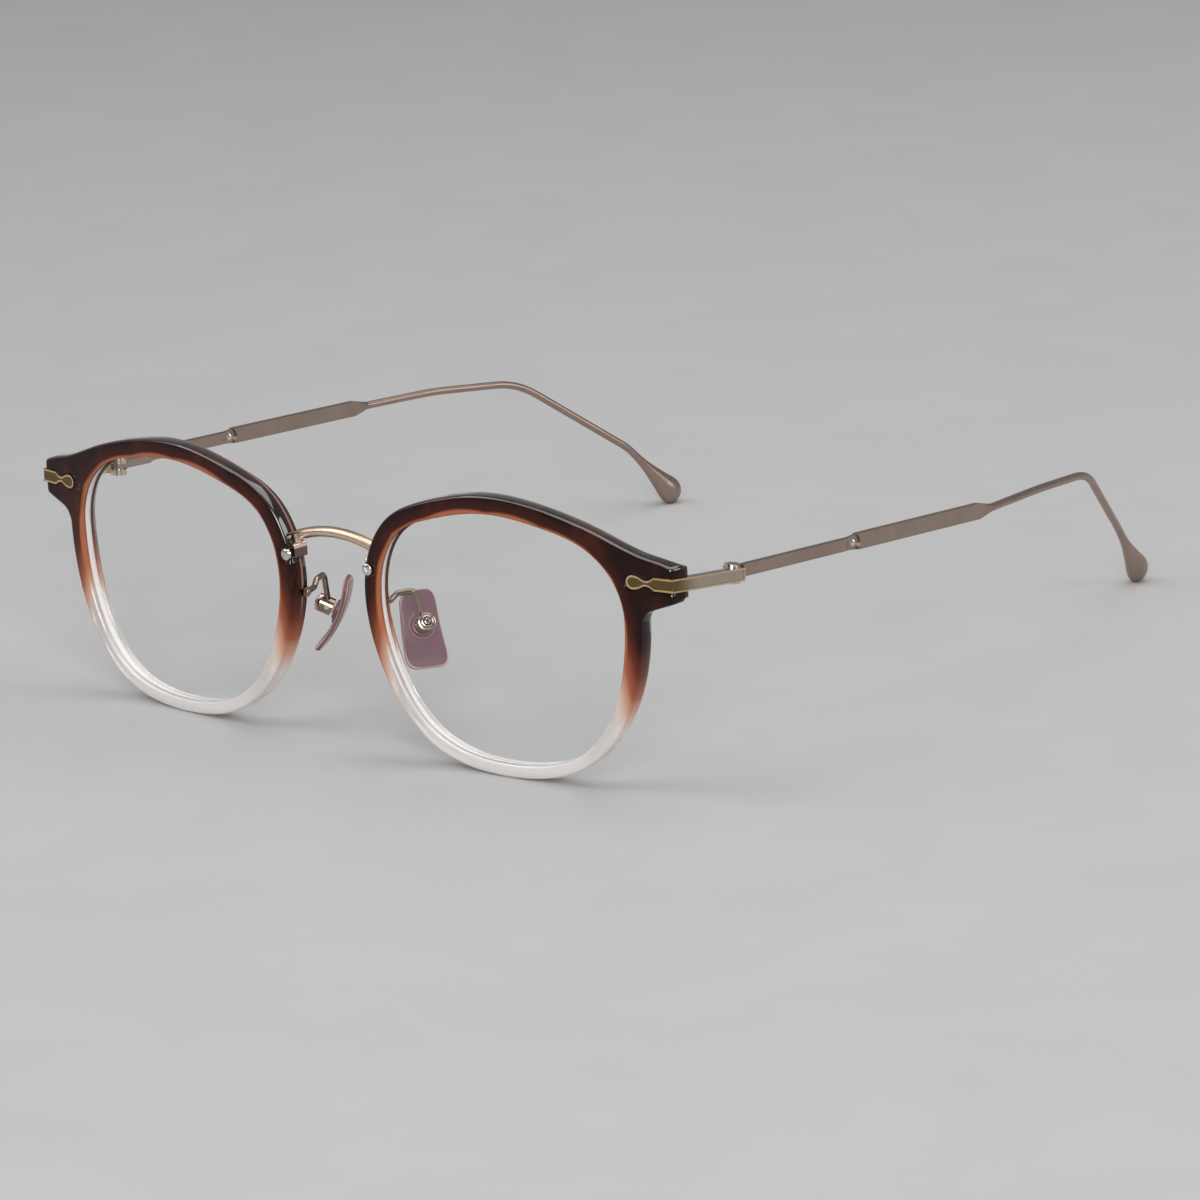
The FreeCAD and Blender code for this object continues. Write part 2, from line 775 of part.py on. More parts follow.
def pad_bore():
    """Room for the pad screw through the drum and the eye of the tab."""
    start = Vector(pad_axis(), -overrun, 0)
    return cylinder(pad_screw_radius + running_fit, start, Y_AXIS, overrun + overrun)


def nose_pad():
    """Soft pad, bent along its length and thin at its edge, with a boss at its back."""
    sections = []
    for along_share, width_share in pad_shares:
        along = pad_length * along_share
        middle = (pad_low_width + pad_high_width) / 2 + (pad_high_width - pad_low_width) * along_share
        centre = Vector(pad_thickness / 2 + bow(pad_curve_radius, along), 0, along - pad_drop)
        thickness = pad_thickness * width_share ** pad_edge_share
        sections.append(oval(centre, Z_AXIS, Y_AXIS, middle * width_share, thickness, pad_corner_share))
    plate = Part.makeLoft(sections, True, True)
    top = pad_thickness + pad_boss_height
    boss = cylinder(pad_boss_radius, Vector(pad_thickness / 2, 0, 0), X_AXIS, top - pad_thickness / 2)
    socket = cylinder(pad_stem_radius + pad_fit, Vector(top - pad_stem_depth, 0, 0), X_AXIS, overrun)
    return moved(plate.fuse(boss).cut(socket), pad_frame)


def pad_core():
    """Hard insert of the pad: a stem in the boss and a tab with an eye."""
    top = pad_thickness + pad_boss_height
    stem = cylinder(pad_stem_radius, Vector(top - pad_stem_depth, 0, 0), X_AXIS, pad_stem_depth + pad_fit)
    half = tab_thickness / 2
    tab = block(Vector(top, -half, -tab_radius), Vector(pad_axis(), half, tab_radius))
    eye = cylinder(tab_radius, Vector(pad_axis(), -half, 0), Y_AXIS, tab_thickness)
    return moved(stem.multiFuse([tab, eye]).cut(pad_bore()), pad_frame)


def pad_box():
    """Domed drum behind the pad, slotted for the tab and bored for the screw."""
    front = pad_axis() - box_front
    back = pad_axis() + box_reach
    drum = cylinder(box_radius, Vector(front, 0, 0), X_AXIS, back - front)
    rear = [edge for edge in drum.Edges if all(abs(v.X - back) < pad_fit for v in edge.Vertexes)]
    drum = drum.makeFillet(box_dome, rear)
    half = tab_thickness / 2 + tab_play
    slot_end = pad_axis() + tab_radius + tab_play
    slot = block(Vector(front - overrun, -half, -overrun), Vector(slot_end, half, overrun))
    return moved(drum.cut(slot.fuse(pad_bore())), pad_frame)


def pad_screw():
    """Small screw across the drum, which is the pad's rocking axis."""
    start = Vector(pad_axis(), -pad_screw_reach, 0)
    shank = cylinder(pad_screw_radius, start, Y_AXIS, pad_screw_reach + box_radius)
    head = cylinder(pad_screw_head_radius, Vector(pad_axis(), box_radius, 0), Y_AXIS, pad_screw_head_height)
    return moved(shank.fuse(head), pad_frame)


def foot_point(height):
    """Point over the nose side of the rim, where the pad arm stands."""
    wall = -lens_width / 2 - rim_width_at(0)
    return Vector(wall - height, foot_depth + bow(face_curve_radius, wall), arm_place)


def pad_peg(growth):
    """Foot of the pad arm on the rim and its peg in the acetate."""
    peg = cylinder(peg_radius + growth, foot_point(0), X_AXIS, peg_length + growth)
    foot = cylinder(foot_radius + growth, foot_point(foot_height), X_AXIS, foot_height + foot_sink + growth)
    return moved(peg.fuse(foot), rim_frame)


def pad_arm():
    """Goose-neck wire from the rim to the drum, one piece with both."""
    start = rim_frame.multVec(foot_point(foot_height))
    seat = Vector(pad_axis() + arm_end_back, -arm_end_side, box_radius - arm_diameter / 2)
    end = pad_frame.multVec(seat)
    points = [start]
    way = end - start
    for way_share, rise_share in arm_shares:
        points.append(start + Vector(way.x * way_share, way.y * way_share, arm_rise * rise_share))
    points.append(end)
    wire = tube(rounded_path(points, (arm_bend_radius,) * len(arm_shares)), arm_diameter)
    knee = Part.makeSphere(arm_diameter / 2, start)
    return pad_peg(0).multiFuse([wire, knee, pad_box()])


rim_frame = Placement(Vector((lens_gap + lens_width) / 2, 0, rim_width + lens_height / 2),
                      Rotation(X_AXIS, face_tilt).multiply(Rotation(Z_AXIS, face_wrap)))
wing_edge = wing_corner()
wing_bow = bow(face_curve_radius, wing_edge.x)
wing_middle = rim_frame.multVec(wing_edge + Vector(0, wing_bow, -wing_height / 2))
side_frame = Placement(wing_middle + Vector(side_proud, -metal_proud, plaque_rise - bar_lift),
                       Rotation(Z_AXIS, -temple_splay).multiply(Rotation(X_AXIS, -temple_pitch)))
plaque_slope = math.degrees(math.asin((wing_edge.x - plaque_length / 2) / face_curve_radius))
plaque_corner = side_frame.multVec(Vector(0, 0, bar_lift))
plaque_frame = Placement(plaque_corner, Rotation(Z_AXIS, face_wrap + plaque_slope))
pad_frame = Placement(Vector(pad_spread / 2, pad_back, pad_centre_height),
                      Rotation(Z_AXIS, -pad_splay).multiply(Rotation(Y_AXIS, -pad_flare)))


def rim():
    """Finished rim with pockets for the end piece, its pins, the bridge and the pad arm."""
    tools = [end_plates(metal_fit), bridge_body(metal_fit), bridge_screw(metal_fit), pad_peg(metal_fit)]
    tools.append(joined(end_pins(metal_fit), plaque_frame))
    return moved(rim_blank(), rim_frame).cut(tools)


def build():
    """All pieces by node name."""
    left_rim = rim()
    screw = bridge_screw(0)
    bore = bridge_screw(running_fit)
    span = bridge_body(0).cut([bore, mirrored(bore)])
    pieces = {"bridge": span, "bridge_screws": Part.makeCompound([screw, mirrored(screw)])}
    sides = {
        "rim": left_rim,
        "lens": moved(lens(), rim_frame),
        "end_piece": end_piece(),
        "end_piece_pins": joined(end_pins(0), plaque_frame),
        "hinge_screw": hinge_screw(),
        "hinge_washers": hinge_washers(),
        "temple": temple(),
        "temple_stud": temple_stud(),
        "pad_arm": pad_arm().cut(left_rim),
        "pad_screw": pad_screw(),
        "nose_pad": nose_pad(),
        "pad_core": pad_core(),
    }
    for name, shape in sides.items():
        pieces[name + "_left"] = shape
        pieces[name + "_right"] = mirrored(shape)
    return pieces


pieces = build()
whole = Part.makeCompound(list(pieces.values())).optimalBoundingBox()
home = Vector(0, -whole.Center.y, -whole.ZMin)
os.makedirs("parts", exist_ok=True)
for name, shape in pieces.items():
    shape.translate(home)
    shape.exportStep("parts/" + name + ".step")
    print(name, "solids", len(shape.Solids), "valid", shape.isValid(), "volume", round(shape.Volume, 3))

axis_point = side_frame.multVec(hinge_point(0)) + home
axis_direction = side_frame.Rotation.multVec(Z_AXIS)
pad_point = pad_frame.multVec(Vector(pad_axis(), 0, 0)) + home
pad_direction = pad_frame.Rotation.multVec(Y_AXIS)
print("size", whole)
print("moved by", home)
print("hinge axis", axis_point, axis_direction)
print("pad axis", pad_point, pad_direction)
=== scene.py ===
"""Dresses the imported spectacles: finishes, nose pads, screw caps, drum ends, side plates, studio, camera.

Lengths are in metres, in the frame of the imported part: X to the wearer's left, Y from the front
to the ears, Z up.
"""
import logging
import math
from dataclasses import dataclass
from enum import Enum
from typing import Any, ClassVar, Iterable, Sequence

import bmesh
import bpy
from bmesh.types import BMEdge, BMesh, BMVert
from bpy.types import ColorRamp, Material, NodeSocket, Object
from mathutils import Matrix, Vector


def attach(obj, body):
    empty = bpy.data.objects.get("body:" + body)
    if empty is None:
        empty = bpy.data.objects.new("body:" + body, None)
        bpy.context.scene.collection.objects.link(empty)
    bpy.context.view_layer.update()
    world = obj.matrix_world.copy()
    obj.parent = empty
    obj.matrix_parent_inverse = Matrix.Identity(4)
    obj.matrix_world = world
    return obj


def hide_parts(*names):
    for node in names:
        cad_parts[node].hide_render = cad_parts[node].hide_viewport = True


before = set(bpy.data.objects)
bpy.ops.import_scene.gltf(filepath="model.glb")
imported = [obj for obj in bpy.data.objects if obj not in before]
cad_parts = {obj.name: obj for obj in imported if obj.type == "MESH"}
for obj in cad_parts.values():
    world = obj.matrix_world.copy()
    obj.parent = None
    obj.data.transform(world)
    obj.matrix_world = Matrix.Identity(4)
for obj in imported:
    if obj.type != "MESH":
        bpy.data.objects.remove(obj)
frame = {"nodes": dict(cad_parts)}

LOG = logging.getLogger("spectacles")
MM = 0.001
X_AXIS, Y_AXIS, Z_AXIS = (Vector(row) for row in Matrix.Identity(3))
Colour = tuple[float, float, float]


class Side(Enum):
    """The wearer's two sides; the value is the sign of X."""

    LEFT = 1
    RIGHT = -1

    def node(self, name: str) -> str:
        """Name of a node on this side."""
        return f"{name}_{self.name.lower()}"


class Grain(Enum):
    """Axis along which a metal is brushed."""

    X = 0
    Y = 1
    Z = 2


@dataclass(frozen=True)
class LocalFrame:
    """Place and turn of a sub-assembly on the wearer's left, in millimetres and degrees.

    The right is its mirror image.
    """

    place: tuple[float, float, float]
    turns: tuple[tuple[str, float], ...]

    def matrix(self) -> Matrix:
        """Takes points of the frame, in millimetres, to metres in the part."""
        turned = Matrix.Identity(4)
        for axis, degrees in self.turns:
            turned = turned @ Matrix.Rotation(math.radians(degrees), 4, axis)
        return Matrix.Scale(MM, 4) @ Matrix.Translation(self.place) @ turned

    def axis(self, number: int) -> Vector:
        """One of the frame's unit axes."""
        return self.matrix().to_3x3().col[number].normalized()

    def origin(self) -> Vector:
        """Place in metres."""
        return Vector(self.place) * MM


RIM = LocalFrame((35.65, -76.3624, 23.1472), (("X", 0.9), ("Z", 4.7)))
SIDE_BAR = LocalFrame((69.2754, -72.3786, 35.7411), (("Z", -1.0), ("X", -3.75)))
PLAQUE = LocalFrame((69.2758, -72.3557, 36.0904), (("Z", 9.804),))
PAD = LocalFrame((8.3, -64.6624, 18.5972), (("Z", -32.0), ("Y", -25.0)))
FACE_CURVE_RADIUS = 333.0 * MM


class Value:
    """A number that varies over a surface; arithmetic on it adds Math nodes."""

    def __init__(self, graph: "Graph", socket: NodeSocket) -> None:
        """Wraps an output socket of a graph."""
        self.graph = graph
        self.socket = socket

    def _with(self, operation: str, first: Any, second: Any) -> "Value":
        """Result of one Math node on two Values or numbers."""
        return self.graph.node("ShaderNodeMath", {"operation": operation}, {0: first, 1: second})

    def __add__(self, other: Any) -> "Value":
        """Sum."""
        return self._with("ADD", self, other)

    __radd__ = __add__

    def __sub__(self, other: Any) -> "Value":
        """Difference."""
        return self._with("SUBTRACT", self, other)

    def __rsub__(self, other: Any) -> "Value":
        """Difference from a number."""
        return self._with("SUBTRACT", other, self)

    def __mul__(self, other: Any) -> "Value":
        """Product."""
        return self._with("MULTIPLY", self, other)

    __rmul__ = __mul__

    def __truediv__(self, other: Any) -> "Value":
        """Quotient."""
        return self._with("DIVIDE", self, other)

    def __pow__(self, other: Any) -> "Value":
        """Power."""
        return self._with("POWER", self, other)

    def __abs__(self) -> "Value":
        """Size without its sign."""
        return self._with("ABSOLUTE", self, 0.0)

    def sign(self) -> "Value":
        """1 or -1."""
        return self._with("SIGN", self, 0.0)

    def angle_from(self, across: "Value") -> "Value":
        """Angle, from -pi to pi, of a direction with this rise and that run."""
        return self._with("ARCTAN2", self, across)


class Graph:
    """Node graph of one material."""

    def __init__(self, name: str) -> None:
        """Makes an empty material.

        Args:
            name: name of the material.
        """
        self.material = bpy.data.materials.new(name)
        self.material.use_nodes = True
        self.tree = self.material.node_tree
        self.tree.nodes.clear()

    def node(self, kind: str, settings: dict[str, Any], sockets: dict[Any, Any], output: Any = 0) -> Value:
        """Adds any node.

        Args:
            kind: Blender's type name of the node.
            settings: properties of the node, set first; "stops" fills a ramp with places and colours.
            sockets: values or links of the inputs, by name or number.
            output: name or number of the output that is returned.

        Returns:
            The output, ready for arithmetic.
        """
        made = self.tree.nodes.new(kind)
        for key, setting in settings.items():
            if key == "stops":
                self._fill_ramp(made.color_ramp, setting)
            else:
                setattr(made, key, setting)
        for key, value in sockets.items():
            if isinstance(value, Value):
                self.tree.links.new(value.socket, made.inputs[key])
            else:
                made.inputs[key].default_value = value
        return Value(self, made.outputs[output])

    @staticmethod
    def _fill_ramp(ramp: ColorRamp, stops: Sequence[tuple[float, Colour]]) -> None:
        """Puts stops on a colour ramp.

        Args:
            ramp: the ramp of a new node, which has two stops.
            stops: places from 0 to 1 with their colours.
        """
        while len(ramp.elements) < len(stops):
            ramp.elements.new(1.0)
        for element, (place, colour) in zip(ramp.elements, stops):
            element.position = place
            element.color = (*colour, 1.0)

    def place(self, stretch: Sequence[float] = (1.0, 1.0, 1.0)) -> Value:
        """Object coordinates in metres, stretched along the axes."""
        where = self.node("ShaderNodeTexCoord", {}, {}, "Object")
        return self.node("ShaderNodeMapping", {}, {"Vector": where, "Scale": stretch})

    def axis(self, name: str) -> Value:
        """One of the object coordinates, "X", "Y" or "Z", in metres."""
        where = self.node("ShaderNodeTexCoord", {}, {}, "Object")
        return self.node("ShaderNodeSeparateXYZ", {}, {0: where}, name)

    def along(self, local: LocalFrame, number: int) -> Value:
        """Distance from a frame's origin along one of its axes; the right side counts as mirrored.

        Args:
            local: the frame.
            number: which of its axes.

        Returns:
            The distance in metres.
        """
        axis = local.axis(number)
        run = abs(self.axis("X")) * axis.x + self.axis("Y") * axis.y + self.axis("Z") * axis.z
        return run - axis.dot(local.origin())

    def from_axis(self, local: LocalFrame) -> Value:
        """Distance in metres from a frame's first axis."""
        across, up = self.along(local, 1), self.along(local, 2)
        return (across * across + up * up) ** 0.5

    def facing(self, axis: Vector) -> Value:
        """How squarely the surface faces a direction; the right side counts as mirrored.

        Args:
            axis: the direction.

        Returns:
            1 where the surface faces it, -1 where it faces away.
        """
        normal = self.node("ShaderNodeTexCoord", {}, {}, "Normal")
        parts = [self.node("ShaderNodeSeparateXYZ", {}, {0: normal}, name) for name in "XYZ"]
        return parts[0] * self.axis("X").sign() * axis.x + parts[1] * axis.y + parts[2] * axis.z

    def ramp(self, value: Any, low: float, high: float, first: float = 0.0, last: float = 1.0) -> Value:
        """A smooth step of a number, from first at the low limit to last at the high one."""
        return self.node("ShaderNodeMapRange", {"interpolation_type": "SMOOTHSTEP"},
                         {"Value": value, "From Min": low, "From Max": high, "To Min": first, "To Max": last})

    def noise(self, scale: float, detail: float = 3.0, stretch: Sequence[float] = (1.0, 1.0, 1.0)) -> Value:
        """Soft noise from 0 to 1; the scale is the number of features in a metre."""
        sockets = {"Vector": self.place(stretch), "Scale": scale, "Detail": detail}
        return self.node("ShaderNodeTexNoise", {}, sockets)

    def blend(self, factor: Any, first: Any, second: Any) -> Value:
        """Colour between two colours or outputs: a factor of 0 gives the first, 1 the second."""
        ends = [(*end, 1.0) if isinstance(end, tuple) else end for end in (first, second)]
        return self.node("ShaderNodeMix", {"data_type": "RGBA"}, {0: factor, 6: ends[0], 7: ends[1]}, 2)

    def shades(self, stops: Sequence[tuple[float, Colour]], place: Value) -> Value:
        """Colour at a place from 0 to 1 along a row of stops."""
        return self.node("ShaderNodeValToRGB", {"stops": stops}, {"Fac": place})

    def bump(self, height: Value, strength: float, distance: float) -> Value:
        """Normal of a surface with a height pattern, whose full step is a distance in metres."""
        return self.node("ShaderNodeBump", {}, {"Height": height, "Strength": strength, "Distance": distance})

    def surface(self, sockets: dict[str, Any]) -> Value:
        """A Principled shader with some of its inputs set."""
        return self.node("ShaderNodeBsdfPrincipled", {}, sockets)

    def mix(self, factor: Any, first: Value, second: Value) -> Value:
        """Mixture of two shaders: 0 gives the first, 1 the second."""
        return self.node("ShaderNodeMixShader", {}, {0: factor, 1: first, 2: second})

    def finish(self, shader: Value) -> Material:
        """Connects the last shader.

        Args:
            shader: output of the last shader node.

        Returns:
            The material.
        """
        end = self.tree.nodes.new("ShaderNodeOutputMaterial")
        self.tree.links.new(shader.socket, end.inputs["Surface"])
        return self.material


@dataclass(frozen=True)
class FadingAcetate:
    """Polished acetate, nearly black brown at the brow, amber in the middle and clear below, with a painted
    glow near the lens opening and painted highlights on the lower rim's rounded edges.
    """

    brow: Colour = (0.012, 0.0026, 0.0018)
    middle: Colour = (0.034, 0.0062, 0.0034)
    # This colour serves both the acetate's own streaks and the painted glow near the lens opening.
    ember_and_painted_glow: Colour = (0.085, 0.0150, 0.0065)
    # Colour of the painted glow along the brow's inner front edge.
    painted_lip_glow: Colour = (0.46, 0.145, 0.065)
    rosy_rear_band: Colour = (0.34, 0.17, 0.13)
    clear: Colour = (0.985, 0.945, 0.925)
    amber: Colour = (0.80, 0.40, 0.19)
    # Colour of the painted highlight on the lower rim's rounded edges.
    painted_edge_highlight: Colour = (0.97, 0.94, 0.92)
    fade: tuple[tuple[float, Colour], ...] = (
        (0.0, (0.97, 0.925, 0.91)), (0.20, (0.92, 0.80, 0.745)), (0.36, (0.66, 0.37, 0.26)),
        (0.52, (0.34, 0.105, 0.050)), (0.72, (0.125, 0.025, 0.011)), (1.0, (0.06, 0.011, 0.006)))
    fade_low: float = 9.5 * MM
    fade_high: float = 29.5 * MM
    fade_across: float = 2.2
    fade_wobble: float = 2.4 * MM
    wobble_scale: float = 120.0
    cover_low: float = 10.0 * MM
    cover_high: float = 20.0 * MM
    milky_low: float = 2.0 * MM
    milky_high: float = 9.0 * MM
    milky_bottom: float = 0.64
    milky_side: float = 0.44
    lip_depth: float = 1.0 * MM
    lip_width: float = 0.7 * MM
    lip_glow_share: float = 0.85
    inner_glow_width: float = 1.1 * MM
    middle_width: float = 2.86 * MM
    streak_scale: float = 190.0
    streak_stretch: tuple[float, float, float] = (1.0, 0.6, 0.6)
    streak_share: float = 0.6
    band_depth: float = 2.1 * MM
    band_inner: float = 1.4 * MM
    band_outer: float = 1.9 * MM
    band_end: float = 27.0 * MM
    band_share: float = 0.9
    edge_highlight_share: float = 0.8
    roughness: float = 0.06
    dust_scale: float = 3200.0
    specular: float = 0.2
    ior: float = 1.49
    edge_polish: float = 0.9
    edge_ior: float = 1.9
    edge_roughness: float = 0.04
    polish_start: float = 0.03 * MM
    polish_full: float = 0.12 * MM
    half_width: float = 24.6 * MM
    half_height: float = 20.95 * MM
    opening_shares: tuple[tuple[float, float], ...] = (
        (0.998, 0.276), (0.963, -0.138), (0.846, -0.523), (0.612, -0.836), (0.283, -0.976),
        (-0.054, -0.998), (-0.367, -0.945), (-0.658, -0.765), (-0.856, -0.459), (-0.969, -0.112),
        (-1.0, 0.166), (-0.962, 0.471), (-0.828, 0.724), (-0.531, 0.892), (-0.044, 1.0),
        (0.382, 0.946), (0.709, 0.827), (0.913, 0.61))

    def _edge_distance(self, graph: Graph, out: Value, up: Value) -> Value:
        """Distance outwards from the edge of the lens opening.

        Args:
            graph: the material's graph.
            out: distance from the middle of the opening towards the temple.
            up: distance above the middle.

        Returns:
            The distance in metres.
        """
        longest = self.half_width + self.half_height
        stops = []
        for across, high in self.opening_shares:
            point = Vector((across * self.half_width, high * self.half_height))
            stops.append((math.atan2(point.y, point.x) / (2 * math.pi) + 0.5, (point.length / longest,) * 3))
        stops.sort()
        seam = ((stops[0][1][0] + stops[-1][1][0]) / 2,) * 3
        turn = up.angle_from(out) / (2 * math.pi) + 0.5
        share = graph.shades([(0.0, seam), *stops, (1.0, seam)], turn)
        return (out * out + up * up) ** 0.5 - share * longest

    def _brow_colour(self, graph: Graph, out: Value, depth: Value, edge: Value) -> Value:
        """Colour of the dark upper rim: streaks, a painted glow of light through the thin acetate near the
        opening, and a paler rosy band near the back.

        Args:
            graph: the material's graph.
            out: distance from the middle of the opening towards the temple.
            depth: distance behind the front face.
            edge: distance outwards from the edge of the lens opening.

        Returns:
            The colour.
        """
        streak = graph.noise(self.streak_scale, 2.0, self.streak_stretch)
        # Painted glow: redder and paler towards the lens opening, standing in for light through the thin
        # inner acetate.
        dark = graph.blend(graph.ramp(edge, 0.0, self.inner_glow_width), self.ember_and_painted_glow, self.middle)
        dark = graph.blend(graph.ramp(edge, self.inner_glow_width, self.middle_width), dark, self.brow)
        dark = graph.blend(graph.ramp(streak, 0.46, 0.80, 0.0, self.streak_share), dark, self.ember_and_painted_glow)
        # A paler rosy band at a set depth behind the front, away from the opening.
        rear_band = graph.ramp(depth, self.band_depth, self.band_depth * 1.08)
        rear_band = rear_band * graph.ramp(depth, self.band_depth * 1.28, self.band_depth * 1.18)
        rear_band = rear_band * graph.ramp(edge, self.band_inner, self.band_outer)
        rear_band = rear_band * graph.ramp(out, self.band_end, self.band_end * 0.8)
        return graph.blend(rear_band * self.band_share, dark, self.rosy_rear_band)

    def _polish(self, graph: Graph, front: Value, depth: Value) -> Value:
        """Weight of the clear coat, which lies on edges that turn upwards from the front.

        Args:
            graph: the material's graph.
            front: how squarely the surface faces forwards.
            depth: distance behind the front face.

        Returns:
            The weight.
        """
        turned = graph.ramp(front, 0.97, 0.86) * graph.ramp(front, -0.5, -0.2, 0.0, self.edge_polish)
        upward = graph.ramp(graph.facing(RIM.axis(2)), 0.1, 0.4)
        return turned * graph.ramp(depth, self.polish_start, self.polish_full) * upward

    def material(self) -> Material:
        """Builds the fade from an opaque brow to a see-through lower rim.

        Returns:
            The material.
        """
        graph = Graph("fading_acetate")
        out, back, up = (graph.along(RIM, number) for number in range(3))
        depth = back - out * out / (2 * FACE_CURVE_RADIUS)
        edge = self._edge_distance(graph, out, up)
        height = graph.axis("Z") + (graph.noise(self.wobble_scale, 2.0) - 0.5) * self.fade_wobble
        height = height + (edge - self.inner_glow_width) * self.fade_across
        share = (height - self.fade_low) / (self.fade_high - self.fade_low)
        brow = self._brow_colour(graph, out, depth, edge)
        colour = graph.blend(graph.ramp(share, 0.70, 1.0), graph.shades(self.fade, share), brow)
        # Painted glow of light along the brow's inner front edge.
        lip = graph.ramp(edge, self.lip_width, self.lip_width * 0.2)
        lip = lip * graph.ramp(depth, self.lip_depth * 1.4, self.lip_depth * 0.5)
        colour = graph.blend(lip * graph.ramp(share, 0.3, 0.6, 0.0, self.lip_glow_share), colour, self.painted_lip_glow)
        front = graph.facing(-RIM.axis(1))
        # Painted highlight on the rounded edges of the lower rim.
        turned = graph.ramp(front, 0.15, 0.4) * graph.ramp(front, 0.97, 0.85)
        colour = graph.blend(turned * graph.ramp(share, 0.4, 0.1, 0.0, self.edge_highlight_share), colour, self.painted_edge_highlight)
        dust = graph.noise(self.dust_scale, 2.0)
        rough = graph.ramp(dust, 0.3, 0.8, self.roughness * 0.7, self.roughness * 1.7)
        polished = {"Base Color": colour, "Roughness": rough, "IOR": self.ior,
                    "Coat Weight": self._polish(graph, front, depth), "Coat IOR": self.edge_ior,
                    "Coat Roughness": self.edge_roughness}
        solid = graph.surface({**polished, "Specular IOR Level": self.specular})
        tint = graph.blend(graph.ramp(share, 0.12, 0.6), self.clear, self.amber)
        see_through = graph.surface({"Base Color": tint, "Roughness": self.roughness * 0.6, "IOR": self.ior,
                                     "Transmission Weight": 1.0})
        milky = graph.ramp(height, self.milky_low, self.milky_high, self.milky_bottom, self.milky_side)
        pale = graph.mix(milky, see_through, graph.surface(polished))
        return graph.finish(graph.mix(graph.ramp(height, self.cover_low, self.cover_high), pale, solid))


@dataclass(frozen=True)
class ClearLens:
    """Clear lens with a ground edge: light passes straight through and the faces reflect by their slope."""

    tint: Colour = (0.985, 0.99, 0.99)
    ground: Colour = (0.90, 0.87, 0.85)
    ground_deep: Colour = (0.70, 0.66, 0.64)
    ground_roughness: float = 0.45
    frost_scale: float = 2600.0
    smear_scale: float = 90.0
    ior: float = 1.45

    def material(self) -> Material:
        """Builds a see-through shader with a mirror-like gloss and a frosted edge.

        Returns:
            The material.
        """
        graph = Graph("clear_lens")
        through = graph.node("ShaderNodeBsdfTransparent", {}, {"Color": (*self.tint, 1.0)})
        smear = graph.noise(self.smear_scale)
        gloss = graph.surface({"Base Color": (1.0, 1.0, 1.0, 1.0), "Metallic": 1.0,
                               "Roughness": graph.ramp(smear, 0.3, 0.8, 0.01, 0.035)})
        slope = graph.node("ShaderNodeFresnel", {}, {"IOR": self.ior})
        inside = graph.node("ShaderNodeNewGeometry", {}, {}, "Backfacing")
        faces = graph.mix(slope * (1 - inside), through, gloss)
        frost = graph.noise(self.frost_scale)
        pale = graph.blend(graph.ramp(frost, 0.3, 0.7, 0.0, 0.4), self.ground, self.ground_deep)
        edge = graph.surface({"Base Color": pale, "Roughness": self.ground_roughness})
        on_edge = graph.ramp(abs(graph.facing(RIM.axis(1))), 0.75, 0.45)
        return graph.finish(graph.mix(on_edge, faces, edge))


@dataclass(frozen=True)
class WornMetal:
    """Plated metal with fine brush lines, cloudy tone and a bump that follows the brushing."""

    name: str
    pale: Colour
    deep: Colour
    roughness: float
    grain: Grain
    brush: float
    cloud_scale: float = 220.0
    line_scale: float = 9000.0
    line_stretch: float = 0.02
    bump_share: float = 0.35
    bump_height: float = 0.03 * MM

    def colour(self, graph: Graph, tone: Value) -> Value:
        """Colour of the metal; the tone, from 0 to 1, says where it is paler."""
        return graph.blend(tone, self.deep, self.pale)

    def material(self) -> Material:
        """Builds the metal with brush lines in its tone, its gloss and its bump.

        Returns:
            The material.
        """
        graph = Graph(self.name)
        stretch = [1.0, 1.0, 1.0]
        stretch[self.grain.value] = self.line_stretch
        lines = graph.noise(self.line_scale, 3.0, stretch)
        tone = graph.ramp(graph.noise(self.cloud_scale) * 0.6 + lines * 0.4, 0.36, 0.64)
        smooth, coarse = self.roughness * (1 - self.brush), self.roughness * (1 + self.brush)
        rough = graph.ramp(lines, 0.25, 0.75, smooth, coarse)
        normal = graph.bump(lines, self.bump_share * self.brush, self.bump_height)
        return graph.finish(graph.surface({"Base Color": self.colour(graph, tone), "Metallic": 1.0,
                                           "Roughness": rough, "Normal": normal}))


